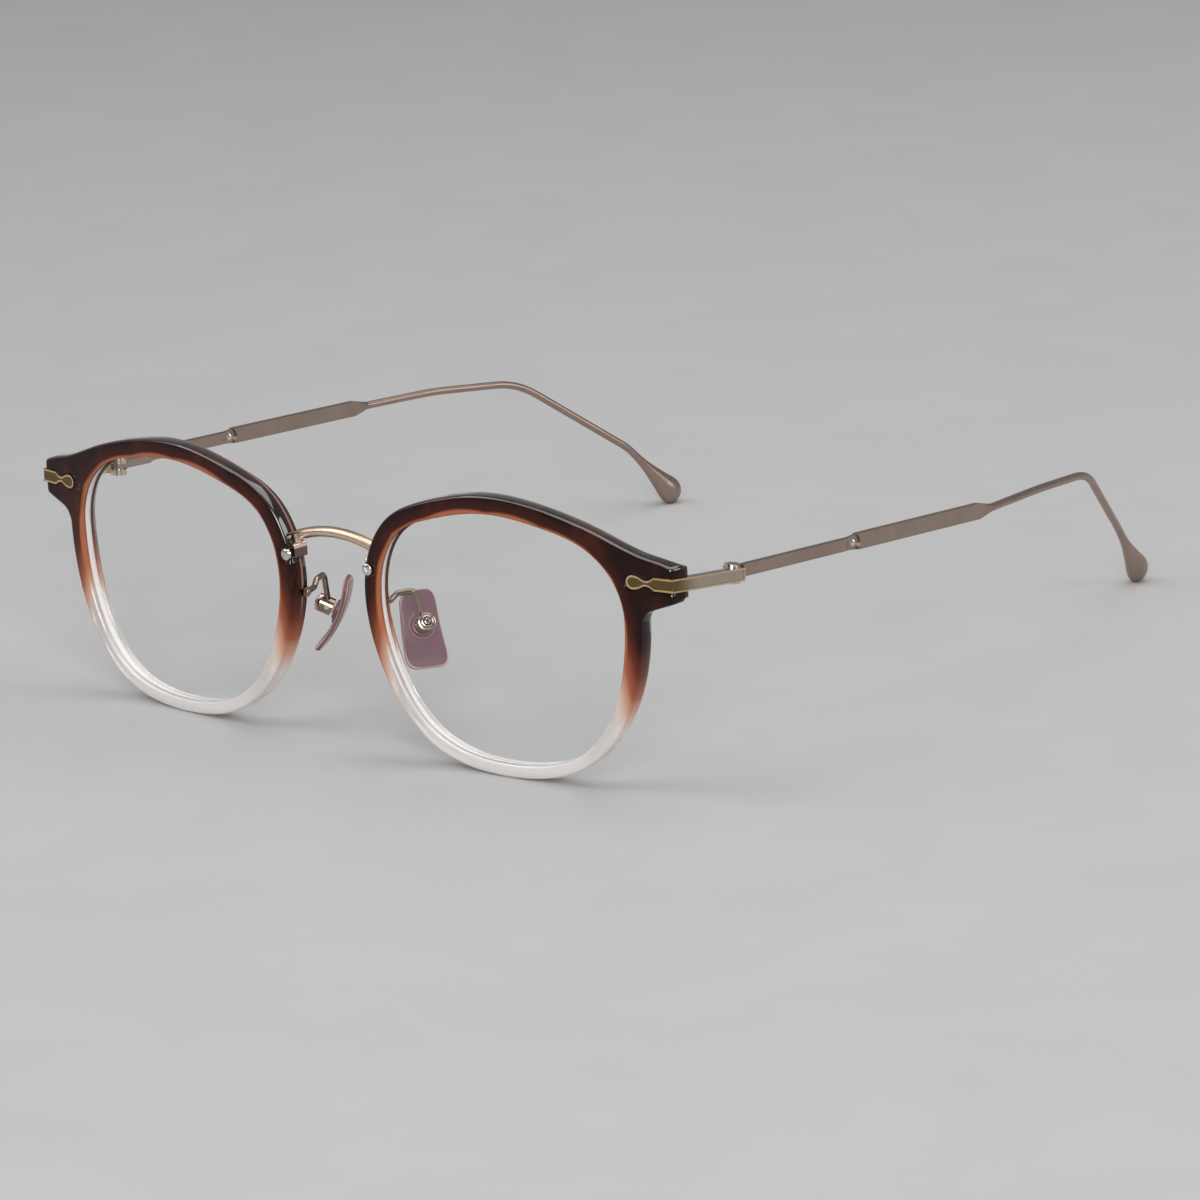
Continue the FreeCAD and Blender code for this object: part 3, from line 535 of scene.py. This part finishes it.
@dataclass(frozen=True)
class LetInGold(WornMetal):
    """Antique gold of the plaques, with a dark sunk field whose walls carry painted shade; it turns to
    champagne along the side bars.
    """

    field: Colour = (0.17, 0.115, 0.050)
    side_pale: Colour = (0.72, 0.61, 0.47)
    side_deep: Colour = (0.60, 0.49, 0.37)
    side_field: Colour = (0.46, 0.38, 0.30)
    # Colour of the painted shade on the walls of the sunk field.
    seam: Colour = (0.05, 0.032, 0.016)
    wall_shade_share: float = 0.8
    field_depth: float = 0.12 * MM
    side_rise: float = 0.32 * MM
    turn_start: float = 1.0 * MM
    turn_end: float = 7.0 * MM

    def _sunk(self, graph: Graph, depth: Value, square: Value) -> Value:
        """Mask of a sunk field.

        Args:
            graph: the material's graph.
            depth: depth behind the raised border.
            square: how squarely the surface faces outwards.

        Returns:
            1 on the floor of the field.
        """
        below = graph.ramp(depth, self.field_depth * 0.3, self.field_depth * 0.7)
        above = graph.ramp(depth, self.field_depth * 2.5, self.field_depth * 1.7)
        return below * above * graph.ramp(square, 0.6, 0.9)

    def colour(self, graph: Graph, tone: Value) -> Value:
        """Adds the sunk fields, the change along the side bars and painted shade on the walls of the fields.

        Args:
            graph: the material's graph.
            tone: where the metal is paler, from 0 to 1.

        Returns:
            The colour.
        """
        plaque_depth = graph.along(PLAQUE, 1)
        plaque_face = graph.facing(-PLAQUE.axis(1))
        bar_depth = self.side_rise - graph.along(SIDE_BAR, 0)
        sunk = (self._sunk(graph, plaque_depth, plaque_face)
                + self._sunk(graph, bar_depth, graph.facing(SIDE_BAR.axis(0))))
        rear = graph.ramp(graph.along(SIDE_BAR, 1), self.turn_start, self.turn_end)
        side = graph.blend(tone, self.side_deep, self.side_pale)
        raised = graph.blend(rear, super().colour(graph, tone), side)
        colour = graph.blend(sunk, raised, graph.blend(rear, self.field, self.side_field))
        # Painted shade on the walls of the plaque's sunk field and its edge.
        wall = graph.ramp(abs(plaque_face), 0.6, 0.3) * graph.ramp(plaque_depth, 0.0, self.field_depth * 0.2)
        wall = wall * graph.ramp(plaque_depth, self.field_depth * 1.3, self.field_depth)
        return graph.blend(wall * self.wall_shade_share, colour, self.seam)


@dataclass(frozen=True)
class RingedBronze(WornMetal):
    """Turned bronze with dark grooves round the axis of a nose pad's drum."""

    groove: Colour = (0.035, 0.022, 0.018)
    groove_radii: tuple[float, ...] = (1.09 * MM, 0.63 * MM, 0.16 * MM)
    groove_width: float = 0.2 * MM

    def colour(self, graph: Graph, tone: Value) -> Value:
        """Adds the grooves.

        Args:
            graph: the material's graph.
            tone: where the metal is paler, from 0 to 1.

        Returns:
            The colour.
        """
        colour = super().colour(graph, tone)
        radius = graph.from_axis(PAD)
        for middle in self.groove_radii:
            near = graph.ramp(abs(radius - middle), self.groove_width / 2, self.groove_width / 4)
            colour = graph.blend(near, colour, self.groove)
        return colour


@dataclass(frozen=True)
class LuggedChampagne(WornMetal):
    """Satin champagne of the bridge, with a painted highlight on top of each lug and painted shade below it.
    """

    painted_lug_highlight: Colour = (0.93, 0.74, 0.65)
    painted_lug_shade: Colour = (0.13, 0.075, 0.055)
    lug_shade_share: float = 0.9
    lug_highlight_height: float = 10.1 * MM
    lug_shade_height: float = 9.5 * MM
    fade: float = 0.25 * MM

    def colour(self, graph: Graph, tone: Value) -> Value:
        """Adds the painted highlight on top of the lugs and the painted shade below.

        Args:
            graph: the material's graph.
            tone: where the metal is paler, from 0 to 1.

        Returns:
            The colour.
        """
        up = graph.along(RIM, 2)
        # Painted highlight on the top of each lug.
        top = graph.ramp(up, self.lug_highlight_height + self.fade, self.lug_highlight_height)
        colour = graph.blend(top, super().colour(graph, tone), self.painted_lug_highlight)
        # Painted shade on the lug below its top.
        low = graph.ramp(up, self.lug_shade_height, self.lug_shade_height - self.fade, 0.0, self.lug_shade_share)
        return graph.blend(low, colour, self.painted_lug_shade)


@dataclass(frozen=True)
class RosySilicone:
    """Translucent rosy silicone of the nose pads, paler along the edge, with painted shade on its side faces.
    """

    deep: Colour = (0.165, 0.074, 0.095)
    pale: Colour = (0.20, 0.094, 0.118)
    edge: Colour = (0.70, 0.45, 0.45)
    painted_side_shade: Colour = (0.19, 0.105, 0.085)
    see: Colour = (0.73, 0.47, 0.55)
    roughness: float = 0.20
    ior: float = 1.41
    half_length: float = 6.7 * MM
    half_width: float = 3.4 * MM
    taper: float = 0.06
    drop: float = 0.6 * MM
    squareness: float = 5.0
    boss_radius: float = 2.3 * MM
    boss_line: float = 0.2 * MM
    cloud_scale: float = 130.0
    skin_scale: float = 5200.0
    skin_height: float = 0.02 * MM

    def material(self) -> Material:
        """Builds a milky shader, half see-through.

        Returns:
            The material.
        """
        graph = Graph("rosy_silicone")
        cloud = graph.noise(self.cloud_scale, 2.0)
        up = graph.along(PAD, 2) + self.drop
        across = graph.along(PAD, 1) / (self.half_width - up * self.taper)
        square = abs(across) ** self.squareness + abs(up / self.half_length) ** self.squareness
        rim = graph.ramp(square ** (1 / self.squareness), 0.945, 0.985)
        radius = graph.from_axis(PAD)
        ring = graph.ramp(abs(radius - self.boss_radius), self.boss_line, self.boss_line / 2, 0.0, 0.45)
        boss = graph.ramp(radius, self.boss_radius, self.boss_radius - self.boss_line, 0.0, 0.3)
        colour = graph.blend(graph.ramp(cloud, 0.3, 0.7), self.deep, self.pale)
        colour = graph.blend(ring + boss, graph.blend(rim, colour, self.edge), self.edge)
        # Painted shade on the pad's side faces.
        painted_side_shade = graph.ramp(abs(graph.facing(PAD.axis(0))), 0.6, 0.3)
        colour = graph.blend(painted_side_shade, colour, self.painted_side_shade)
        skin = graph.bump(graph.noise(self.skin_scale, 2.0), 0.08, self.skin_height)
        gloss = {"Roughness": self.roughness, "IOR": self.ior}
        milky = graph.surface({**gloss, "Base Color": colour, "Normal": skin})
        clear = graph.surface({**gloss, "Base Color": (*self.see, 1.0), "Transmission Weight": 1.0})
        body = graph.ramp(cloud, 0.2, 0.8, 0.42, 0.56) + rim * 0.3 + boss
        return graph.finish(graph.mix(body, clear, milky))


@dataclass(frozen=True)
class PaleCore:
    """Hard pale plastic of the pad's insert."""

    pale: Colour = (0.72, 0.64, 0.60)
    deep: Colour = (0.45, 0.38, 0.35)
    roughness: float = 0.35
    cloud_scale: float = 900.0
    skin_height: float = 0.02 * MM

    def material(self) -> Material:
        """Builds a satin moulded plastic.

        Returns:
            The material.
        """
        graph = Graph("pale_core")
        cloud = graph.noise(self.cloud_scale)
        shade = graph.blend(graph.ramp(cloud, 0.3, 0.7, 0.0, 0.25), self.pale, self.deep)
        return graph.finish(graph.surface({"Base Color": shade, "Roughness": self.roughness,
                                           "Normal": graph.bump(cloud, 0.1, self.skin_height)}))


@dataclass(frozen=True)
class Palette:
    """All finishes of the spectacles."""

    acetate: FadingAcetate = FadingAcetate()
    lens: ClearLens = ClearLens()
    gold: LetInGold = LetInGold(
        "antique_gold", (0.78, 0.58, 0.32), (0.58, 0.41, 0.20), 0.24, Grain.Y, 0.2)
    bronze: WornMetal = WornMetal(
        "taupe_bronze", (0.405, 0.306, 0.256), (0.36, 0.270, 0.224), 0.32, Grain.Y, 0.12)
    champagne: LuggedChampagne = LuggedChampagne(
        "satin_champagne", (0.76, 0.60, 0.46), (0.70, 0.54, 0.405), 0.25, Grain.X, 0.06)
    dark_bronze: WornMetal = WornMetal(
        "dark_bronze", (0.37, 0.285, 0.225), (0.24, 0.18, 0.138), 0.13, Grain.Z, 0.1)
    ringed: RingedBronze = RingedBronze(
        "ringed_bronze", (0.70, 0.56, 0.50), (0.52, 0.40, 0.35), 0.13, Grain.Z, 0.1)
    steel: WornMetal = WornMetal(
        "bright_steel", (0.76, 0.73, 0.70), (0.60, 0.57, 0.545), 0.16, Grain.X, 0.25)
    silicone: RosySilicone = RosySilicone()
    core: PaleCore = PaleCore()


class Wardrobe:
    """Puts each finish on its CAD nodes."""

    FINISHES: dict[str, tuple[str, ...]] = {
        "acetate": ("rim",), "lens": ("lens",), "gold": ("end_piece",), "bronze": ("temple",),
        "champagne": ("bridge",), "dark_bronze": ("pad_arm",), "ringed": (),
        "steel": ("bridge_screws", "end_piece_pins", "hinge_screw", "hinge_washers", "temple_stud",
                  "pad_screw"),
        "silicone": ("nose_pad",), "core": ("pad_core",),
    }

    def __init__(self, palette: Palette) -> None:
        """Builds all materials of a palette once."""
        self.materials = {name: getattr(palette, name).material() for name in self.FINISHES}

    def dress(self, nodes: dict[str, Object]) -> None:
        """Gives every node the material of its finish.

        Args:
            nodes: CAD objects by node name.
        """
        for finish, names in self.FINISHES.items():
            for node, piece in nodes.items():
                if node.removesuffix("_left").removesuffix("_right") in names:
                    piece.data.materials.clear()
                    piece.data.materials.append(self.materials[finish])
                    LOG.info("%s wears %s", node, finish)


def add_piece(mesh: BMesh, name: str, body: str, material: Material,
              sharp_angle: float) -> Object:
    """Makes a finished bmesh a piece that rides on a body.

    Args:
        mesh: the shape in metres, freed here.
        name: name of the piece.
        body: the body that carries it.
        material: its finish.
        sharp_angle: angle in degrees from which an edge stays sharp.

    Returns:
        The piece.
    """
    data = bpy.data.meshes.new(name)
    mesh.to_mesh(data)
    mesh.free()
    data.shade_smooth()
    data.set_sharp_from_angle(angle=math.radians(sharp_angle))
    data.materials.append(material)
    piece = bpy.data.objects.new(name, data)
    bpy.context.collection.objects.link(piece)
    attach(piece, body)
    LOG.info("%s rides on %s, %d faces", name, body, len(data.polygons))
    return piece


class MadePiece:
    """What the pieces modelled here share: a mesh in millimetres, in a local frame on the wearer's left."""

    MERGE = 0.002
    CUT_REACH = 0.0005
    SHARP_ANGLE = 38.0
    name: ClassVar[str]
    slot: ClassVar[str]
    local: ClassVar[LocalFrame]

    def shape(self, mesh: BMesh) -> None:
        """Makes the shape of the piece in an empty bmesh."""
        raise NotImplementedError

    def body(self, side: Side) -> str:
        """Name of the body that carries the piece."""
        return "front"

    def build(self, side: Side, material: Material) -> Object:
        """Builds the piece of one side.

        Args:
            side: which side.
            material: its finish.

        Returns:
            The piece.
        """
        mesh = bmesh.new()
        self.shape(mesh)
        bmesh.ops.remove_doubles(mesh, verts=mesh.verts, dist=self.MERGE)
        mirror = Matrix.Scale(side.value, 4, X_AXIS)
        bmesh.ops.transform(mesh, matrix=mirror @ self.local.matrix(), verts=mesh.verts)
        bmesh.ops.recalc_face_normals(mesh, faces=mesh.faces)
        return add_piece(mesh, side.node(self.name), self.body(side), material, self.SHARP_ANGLE)

    @staticmethod
    def spun(mesh: BMesh, profile: Sequence[tuple[float, float]], axis: Vector, across: Vector,
             steps: int) -> None:
        """Turns a profile once round an axis through the origin.

        Args:
            mesh: the bmesh that takes the shape.
            profile: places along the axis with their radii.
            axis: the axis.
            across: direction of the radii at the start.
            steps: number of steps of the turn.
        """
        points = [mesh.verts.new(axis * place + across * radius) for place, radius in profile]
        edges = [mesh.edges.new(pair) for pair in zip(points, points[1:])]
        bmesh.ops.spin(mesh, geom=points + edges, cent=(0.0, 0.0, 0.0), axis=axis, angle=2 * math.pi,
                       steps=steps, use_merge=True)

    @classmethod
    def cut(cls, mesh: BMesh, level: float, axis: Vector) -> None:
        """Divides the faces along a plane square to an axis, at a level from the origin."""
        bmesh.ops.bisect_plane(mesh, geom=[*mesh.verts, *mesh.edges, *mesh.faces], dist=cls.CUT_REACH,
                               plane_co=axis * level, plane_no=axis)

    @staticmethod
    def rounded(mesh: BMesh, edges: list[BMEdge], radius: float, segments: int) -> None:
        """Rounds edges to a radius with so many faces."""
        bmesh.ops.bevel(mesh, geom=edges, offset=radius, offset_type="OFFSET", affect="EDGES",
                        segments=segments, profile=0.5, material=-1, clamp_overlap=True)


@dataclass
class NosePad(MadePiece):
    """Moulded silicone pad with a soft edge and a stepped boss at its back."""

    name = "soft_pad"
    slot = "silicone"
    local = PAD
    length: float = 13.4
    low_width: float = 7.6
    high_width: float = 6.0
    thickness: float = 1.1
    drop: float = 0.6
    curve_radius: float = 18.0
    corner_radius: float = 1.9
    corner_segments: int = 8
    edge_radius: float = 0.45
    edge_segments: int = 5
    crown: float = 0.12
    long_cuts: int = 14
    cross_cuts: int = 7
    boss_steps: int = 40
    boss_profile: tuple[tuple[float, float], ...] = (
        (1.06, 0.0), (1.06, 2.36), (1.40, 2.36), (1.47, 2.29), (1.47, 1.98), (1.40, 1.91), (1.40, 1.82),
        (1.58, 1.80), (1.78, 1.72), (1.87, 1.56), (1.87, 1.40), (1.79, 1.34), (1.79, 1.20), (1.88, 1.14),
        (1.90, 1.04), (1.86, 0.96), (1.12, 0.96), (1.12, 0.0))

    def _crosses(self, edge: BMEdge) -> bool:
        """Whether an edge runs through the thickness of the plate."""
        return abs(edge.verts[0].co.x - edge.verts[1].co.x) > self.thickness / 2

    def _plate(self, mesh: BMesh) -> None:
        """Makes the bent plate with rounded corners and edges.

        Args:
            mesh: the bmesh that takes the plate.
        """
        bmesh.ops.create_cube(mesh, size=1.0)
        for vert in mesh.verts:
            width = self.high_width if vert.co.z > 0 else self.low_width
            vert.co = Vector((vert.co.x * self.thickness, vert.co.y * width, vert.co.z * self.length))
        corners = [edge for edge in mesh.edges if self._crosses(edge)]
        self.rounded(mesh, corners, self.corner_radius, self.corner_segments)
        border = [edge for edge in mesh.edges if not self._crosses(edge)]
        self.rounded(mesh, border, self.edge_radius, self.edge_segments)
        for count, length, axis in ((self.long_cuts, self.length, Z_AXIS),
                                    (self.cross_cuts, self.low_width, Y_AXIS)):
            for step in range(1, count):
                self.cut(mesh, length * (step / count - 0.5), axis)
        for vert in mesh.verts:
            swell = self.crown * (2 * vert.co.y / self.low_width) ** 2 if vert.co.x < 0 else 0.0
            bow = self.curve_radius - math.sqrt(self.curve_radius ** 2 - vert.co.z ** 2)
            vert.co += Vector((self.thickness / 2 + bow + swell, 0.0, -self.drop))

    def shape(self, mesh: BMesh) -> None:
        """Makes the plate and the boss behind it."""
        self._plate(mesh)
        self.spun(mesh, self.boss_profile, X_AXIS, Z_AXIS, self.boss_steps)

    def body(self, side: Side) -> str:
        """Name of the body that carries the pad."""
        return side.node("nose_pad")

    def build(self, side: Side, material: Material) -> Object:
        """Builds the pad of one side in place of its plain solid.

        Args:
            side: which side.
            material: its finish.

        Returns:
            The pad.
        """
        pad = super().build(side, material)
        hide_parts(side.node("nose_pad"))
        return pad


@dataclass
class BridgeScrewCap(MadePiece):
    """Domed and slotted head on each bridge screw."""

    name = "bridge_screw_cap"
    slot = "steel"
    local = RIM
    place: tuple[float, float, float] = (-26.65, 0.968, 8.5)
    radius: float = 0.97
    dome: float = 0.3
    seat: float = 0.05
    slot_width: float = 0.18
    slot_depth: float = 0.09
    slot_turn: float = 62.0
    rings: int = 7
    steps: int = 36

    def shape(self, mesh: BMesh) -> None:
        """Makes the dome, sinks its slot and puts it on the screw.

        Args:
            mesh: the bmesh that takes the cap.
        """
        turns = [math.pi / 2 * step / self.rings for step in range(self.rings + 1)]
        profile = [(self.seat, 0.0), (self.seat, self.radius)]
        profile += [(-self.dome * math.sin(turn), self.radius * math.cos(turn)) for turn in turns]
        self.spun(mesh, profile, Y_AXIS, X_AXIS, self.steps)
        bmesh.ops.remove_doubles(mesh, verts=mesh.verts, dist=self.MERGE)
        half = self.slot_width / 2
        for level in (-half, half):
            self.cut(mesh, level, Z_AXIS)
        bmesh.ops.recalc_face_normals(mesh, faces=mesh.faces)
        sunk = [face for face in mesh.faces if abs(face.calc_center_median().z) < half
                and face.calc_center_median().y < -self.dome / 20]
        bmesh.ops.inset_region(mesh, faces=sunk, thickness=half / 10, depth=-self.slot_depth)
        turned = Matrix.Translation(self.place) @ Matrix.Rotation(math.radians(self.slot_turn), 4, "Y")
        bmesh.ops.transform(mesh, matrix=turned, verts=mesh.verts)


@dataclass
class RingedDrumEnd(MadePiece):
    """Turned end of the drum that holds a nose pad."""

    name = "drum_end"
    slot = "dark_bronze"
    local = PAD
    steps: int = 40
    profile: tuple[tuple[float, float], ...] = (
        (4.40, 0.0), (4.40, 1.54), (4.84, 1.54), (5.00, 1.46), (5.05, 1.34), (5.05, 1.20), (4.96, 1.14),
        (4.96, 1.04), (5.20, 0.98), (5.27, 0.88), (5.27, 0.74), (5.18, 0.68), (5.18, 0.58), (5.34, 0.52),
        (5.40, 0.42), (5.40, 0.34), (5.22, 0.28), (5.22, 0.0))

    def shape(self, mesh: BMesh) -> None:
        """Turns the ringed profile round the axis of the drum."""
        self.spun(mesh, self.profile, X_AXIS, Z_AXIS, self.steps)


@dataclass
class SidePlate(MadePiece):
    """Face of the side bar, which goes on from the plaque over the end of the wing."""

    name = "side_plate"
    slot = "gold"
    local = SIDE_BAR
    length: float = 18.1
    height: float = 2.25
    lift: float = 0.35
    dip: float = 0.55
    rise: float = 0.32
    seat: float = 0.2
    border: float = 0.32
    field_depth: float = 0.12
    corner_radius: float = 0.28
    corner_segments: int = 4
    edge_radius: float = 0.08
    edge_segments: int = 3

    @staticmethod
    def _bar(mesh: BMesh, low: Vector, high: Vector) -> list[BMEdge]:
        """Makes one straight bar between two opposite corners.

        Args:
            mesh: the bmesh that takes the bar.
            low: its lowest corner.
            high: its highest corner.

        Returns:
            Its edges.
        """
        made = bmesh.ops.create_cube(mesh, size=1.0)["verts"]
        bmesh.ops.scale(mesh, vec=high - low, verts=made)
        bmesh.ops.translate(mesh, vec=(low + high) / 2, verts=made)
        return list(dict.fromkeys(edge for vert in made for edge in vert.link_edges))

    def _long_bars(self, mesh: BMesh) -> None:
        """Makes the two raised borders and the field between them.

        Args:
            mesh: the bmesh that takes them.
        """
        half, inner = self.height / 2, self.height / 2 - self.border
        rear = self.length - self.border
        self._bar(mesh, Vector((-self.seat, self.field_depth, -inner)),
                  Vector((self.rise - self.field_depth, rear, inner)))
        for low in (-half, inner):
            edges = self._bar(mesh, Vector((-self.seat, 0.0, low)),
                              Vector((self.rise, rear, low + self.border)))
            crests = [edge for edge in edges if all(end.co.x > 0 for end in edge.verts)
                      and abs(edge.verts[0].co.z - edge.verts[1].co.z) < self.border / 2]
            self.rounded(mesh, crests, self.edge_radius, self.edge_segments)

    def _end(self, mesh: BMesh) -> None:
        """Makes the raised end behind the field, with round corners.

        Args:
            mesh: the bmesh that takes the end.
        """
        half, rear = self.height / 2, self.length - self.border
        edges = self._bar(mesh, Vector((-self.seat, rear, -half)), Vector((self.rise, self.length, half)))
        corners = [edge for edge in edges if all(end.co.y > rear + self.border / 2 for end in edge.verts)
                   and abs(edge.verts[0].co.x - edge.verts[1].co.x) > self.rise]
        self.rounded(mesh, corners, self.corner_radius, self.corner_segments)

    def shape(self, mesh: BMesh) -> None:
        """Makes the bars and slopes them along the temple.

        Args:
            mesh: the bmesh that takes them.
        """
        self._long_bars(mesh)
        self._end(mesh)
        for vert in mesh.verts:
            vert.co.z += self.lift - (self.lift + self.dip) * vert.co.y / self.length


@dataclass
class PolishedPart:
    """Part shaped as its solid, its triangles joined so that the polish runs smoothly over it."""

    node: str
    slot: str
    sharp_angle: float = 28.0

    def build(self, solid: Object, material: Material) -> Object:
        """Builds the part in place of its solid.

        Args:
            solid: the CAD object.
            material: its finish.

        Returns:
            The part.
        """
        mesh = bmesh.new()
        mesh.from_mesh(solid.data)
        bmesh.ops.remove_doubles(mesh, verts=mesh.verts, dist=MadePiece.MERGE * MM)
        part = add_piece(mesh, f"polished_{self.node}", "front", material, self.sharp_angle)
        part.modifiers.new("even_normals", "WEIGHTED_NORMAL").keep_sharp = True
        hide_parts(self.node)
        return part


@dataclass(frozen=True)
class SoftLamp:
    """Soft lamp that faces a point near the spectacles."""

    name: str
    place: tuple[float, float, float]
    sides: tuple[float, float]
    watts: float
    target: tuple[float, float, float] = (0.0, 0.0, 0.02)

    def hang(self) -> None:
        """Adds the lamp to the scene."""
        data = bpy.data.lights.new(self.name, "AREA")
        data.shape = "RECTANGLE"
        data.size, data.size_y = self.sides
        data.energy = self.watts
        lamp = bpy.data.objects.new(self.name, data)
        lamp.location = self.place
        aim = Vector(self.target) - Vector(self.place)
        lamp.rotation_euler = aim.to_track_quat("-Z", "Y").to_euler()
        bpy.context.collection.objects.link(lamp)


@dataclass
class Studio:
    """Pale floor that turns up into a backdrop, soft lamps and the even light round them."""

    floor_colour: Colour = (0.47, 0.47, 0.47)
    floor_roughness: float = 0.8
    mottle: float = 1.03
    mottle_scale: float = 40.0
    half_width: float = 1.6
    front: float = -1.6
    back: float = 1.3
    wall_height: float = 1.6
    sweep_radius: float = 0.5
    sweep_steps: int = 16
    sky_colour: Colour = (0.8, 0.8, 0.8)
    sky_strength: float = 0.35
    lamps: tuple[SoftLamp, ...] = (
        SoftLamp("overhead", (0.1, 0.25, 0.95), (0.9, 0.9), 4.2),
        SoftLamp("front_top", (-0.35, -0.4, 0.85), (1.0, 0.4), 2.4, (-0.35, 0.0, 0.02)),
        SoftLamp("front_left", (-0.75, -0.7, 0.6), (0.6, 0.6), 1.8),
        SoftLamp("front_right", (0.75, -0.85, 0.5), (0.6, 0.6), 7.5),
        SoftLamp("right_rear", (0.9, 0.5, 0.45), (0.5, 0.5), 2.2))

    @staticmethod
    def _only(kind: type, items: Iterable[Any]) -> list[Any]:
        """The vertices or the edges among an operator's results."""
        return [item for item in items if isinstance(item, kind)]

    def floor(self) -> Object:
        """Builds the floor and backdrop as one swept sheet.

        Returns:
            The sheet.
        """
        sheet = bmesh.new()
        ends = [sheet.verts.new((side * self.half_width, self.front, 0.0)) for side in (-1, 1)]
        pulled = bmesh.ops.extrude_edge_only(sheet, edges=[sheet.edges.new(ends)])["geom"]
        rear, lip = self._only(BMVert, pulled), self._only(BMEdge, pulled)
        sweep_start = self.back - self.sweep_radius
        bmesh.ops.translate(sheet, verts=rear, vec=(0.0, sweep_start - self.front, 0.0))
        turned = bmesh.ops.spin(sheet, geom=rear + lip, cent=(0.0, sweep_start, self.sweep_radius),
                                axis=X_AXIS, angle=math.pi / 2, steps=self.sweep_steps)
        top = self._only(BMEdge, turned["geom_last"])
        wall = self._only(BMVert, bmesh.ops.extrude_edge_only(sheet, edges=top)["geom"])
        bmesh.ops.translate(sheet, verts=wall, vec=(0.0, 0.0, self.wall_height))
        bmesh.ops.recalc_face_normals(sheet, faces=sheet.faces)
        mesh = bpy.data.meshes.new("floor")
        sheet.to_mesh(mesh)
        sheet.free()
        mesh.shade_smooth()
        mesh.materials.append(self._paper())
        floor = bpy.data.objects.new("floor", mesh)
        bpy.context.collection.objects.link(floor)
        return floor

    def _paper(self) -> Material:
        """Plain pale paper with a faint mottle.

        Returns:
            The material.
        """
        graph = Graph("paper")
        cloud = graph.noise(self.mottle_scale, 4.0)
        pale = tuple(min(1.0, channel * self.mottle) for channel in self.floor_colour)
        colour = graph.blend(graph.ramp(cloud, 0.3, 0.7), self.floor_colour, pale)
        return graph.finish(graph.surface({"Base Color": colour, "Roughness": self.floor_roughness}))

    def light(self) -> None:
        """Hangs the lamps and sets the even light."""
        for lamp in self.lamps:
            lamp.hang()
        world = bpy.data.worlds.new("studio")
        world.use_nodes = True
        sky = world.node_tree.nodes["Background"].inputs
        sky["Color"].default_value = (*self.sky_colour, 1.0)
        sky["Strength"].default_value = self.sky_strength
        bpy.context.scene.world = world


@dataclass
class PhotoCamera:
    """Camera at the photograph's viewing angle."""

    place_from_front: tuple[float, float, float] = (755.839 * MM, -818.754 * MM, 328.072 * MM)
    front_to_origin: float = 76.3624 * MM
    azimuth: float = 40.4755
    elevation: float = 15.3281
    roll: float = -2.4127
    focal_length: float = 210.003
    sensor_width: float = 36.0
    clip_start: float = 0.01
    image_pixels: int = 1200
    middle_pixels: tuple[float, float] = (597.33, 600.28)

    def build(self) -> Object:
        """Places the camera and makes it the scene's.

        Returns:
            The camera.
        """
        turn, lift = math.radians(self.azimuth), math.radians(self.elevation)
        ahead = Vector((-math.sin(turn) * math.cos(lift), math.cos(turn) * math.cos(lift), -math.sin(lift)))
        right = Vector((math.cos(turn), math.sin(turn), 0.0))
        up = right.cross(ahead)
        tilt = math.radians(self.roll)
        level = right * math.cos(tilt) + up * math.sin(tilt)
        upright = up * math.cos(tilt) - right * math.sin(tilt)
        data = bpy.data.cameras.new("photo_camera")
        data.sensor_width = self.sensor_width
        data.lens = self.focal_length
        data.clip_start = self.clip_start
        half = self.image_pixels / 2
        data.shift_x = (half - self.middle_pixels[0]) / self.image_pixels
        data.shift_y = (self.middle_pixels[1] - half) / self.image_pixels
        camera = bpy.data.objects.new("photo_camera", data)
        turned = Matrix((level, upright, -ahead)).transposed().to_4x4()
        x, y, z = self.place_from_front
        camera.matrix_world = Matrix.Translation((x, y - self.front_to_origin, z)) @ turned
        bpy.context.collection.objects.link(camera)
        bpy.context.scene.camera = camera
        return camera


def main() -> None:
    """Dresses the spectacles and sets the stage."""
    logging.basicConfig(level=logging.INFO, format="%(message)s")
    bpy.context.scene.view_settings.view_transform = "Standard"
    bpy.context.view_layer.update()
    wardrobe = Wardrobe(Palette())
    finishes, nodes = wardrobe.materials, frame["nodes"]
    wardrobe.dress(nodes)
    for side in Side:
        NosePad().build(side, finishes["silicone"])
        BridgeScrewCap().build(side, finishes["steel"])
        RingedDrumEnd().build(side, finishes["ringed"])
        SidePlate().build(side, finishes["gold"])
        rim = side.node("rim")
        PolishedPart(rim, "acetate").build(nodes[rim], finishes["acetate"])
    PolishedPart("bridge", "champagne").build(nodes["bridge"], finishes["champagne"])
    studio = Studio()
    studio.floor()
    studio.light()
    PhotoCamera().build()


if __name__ == "__main__":
    main()
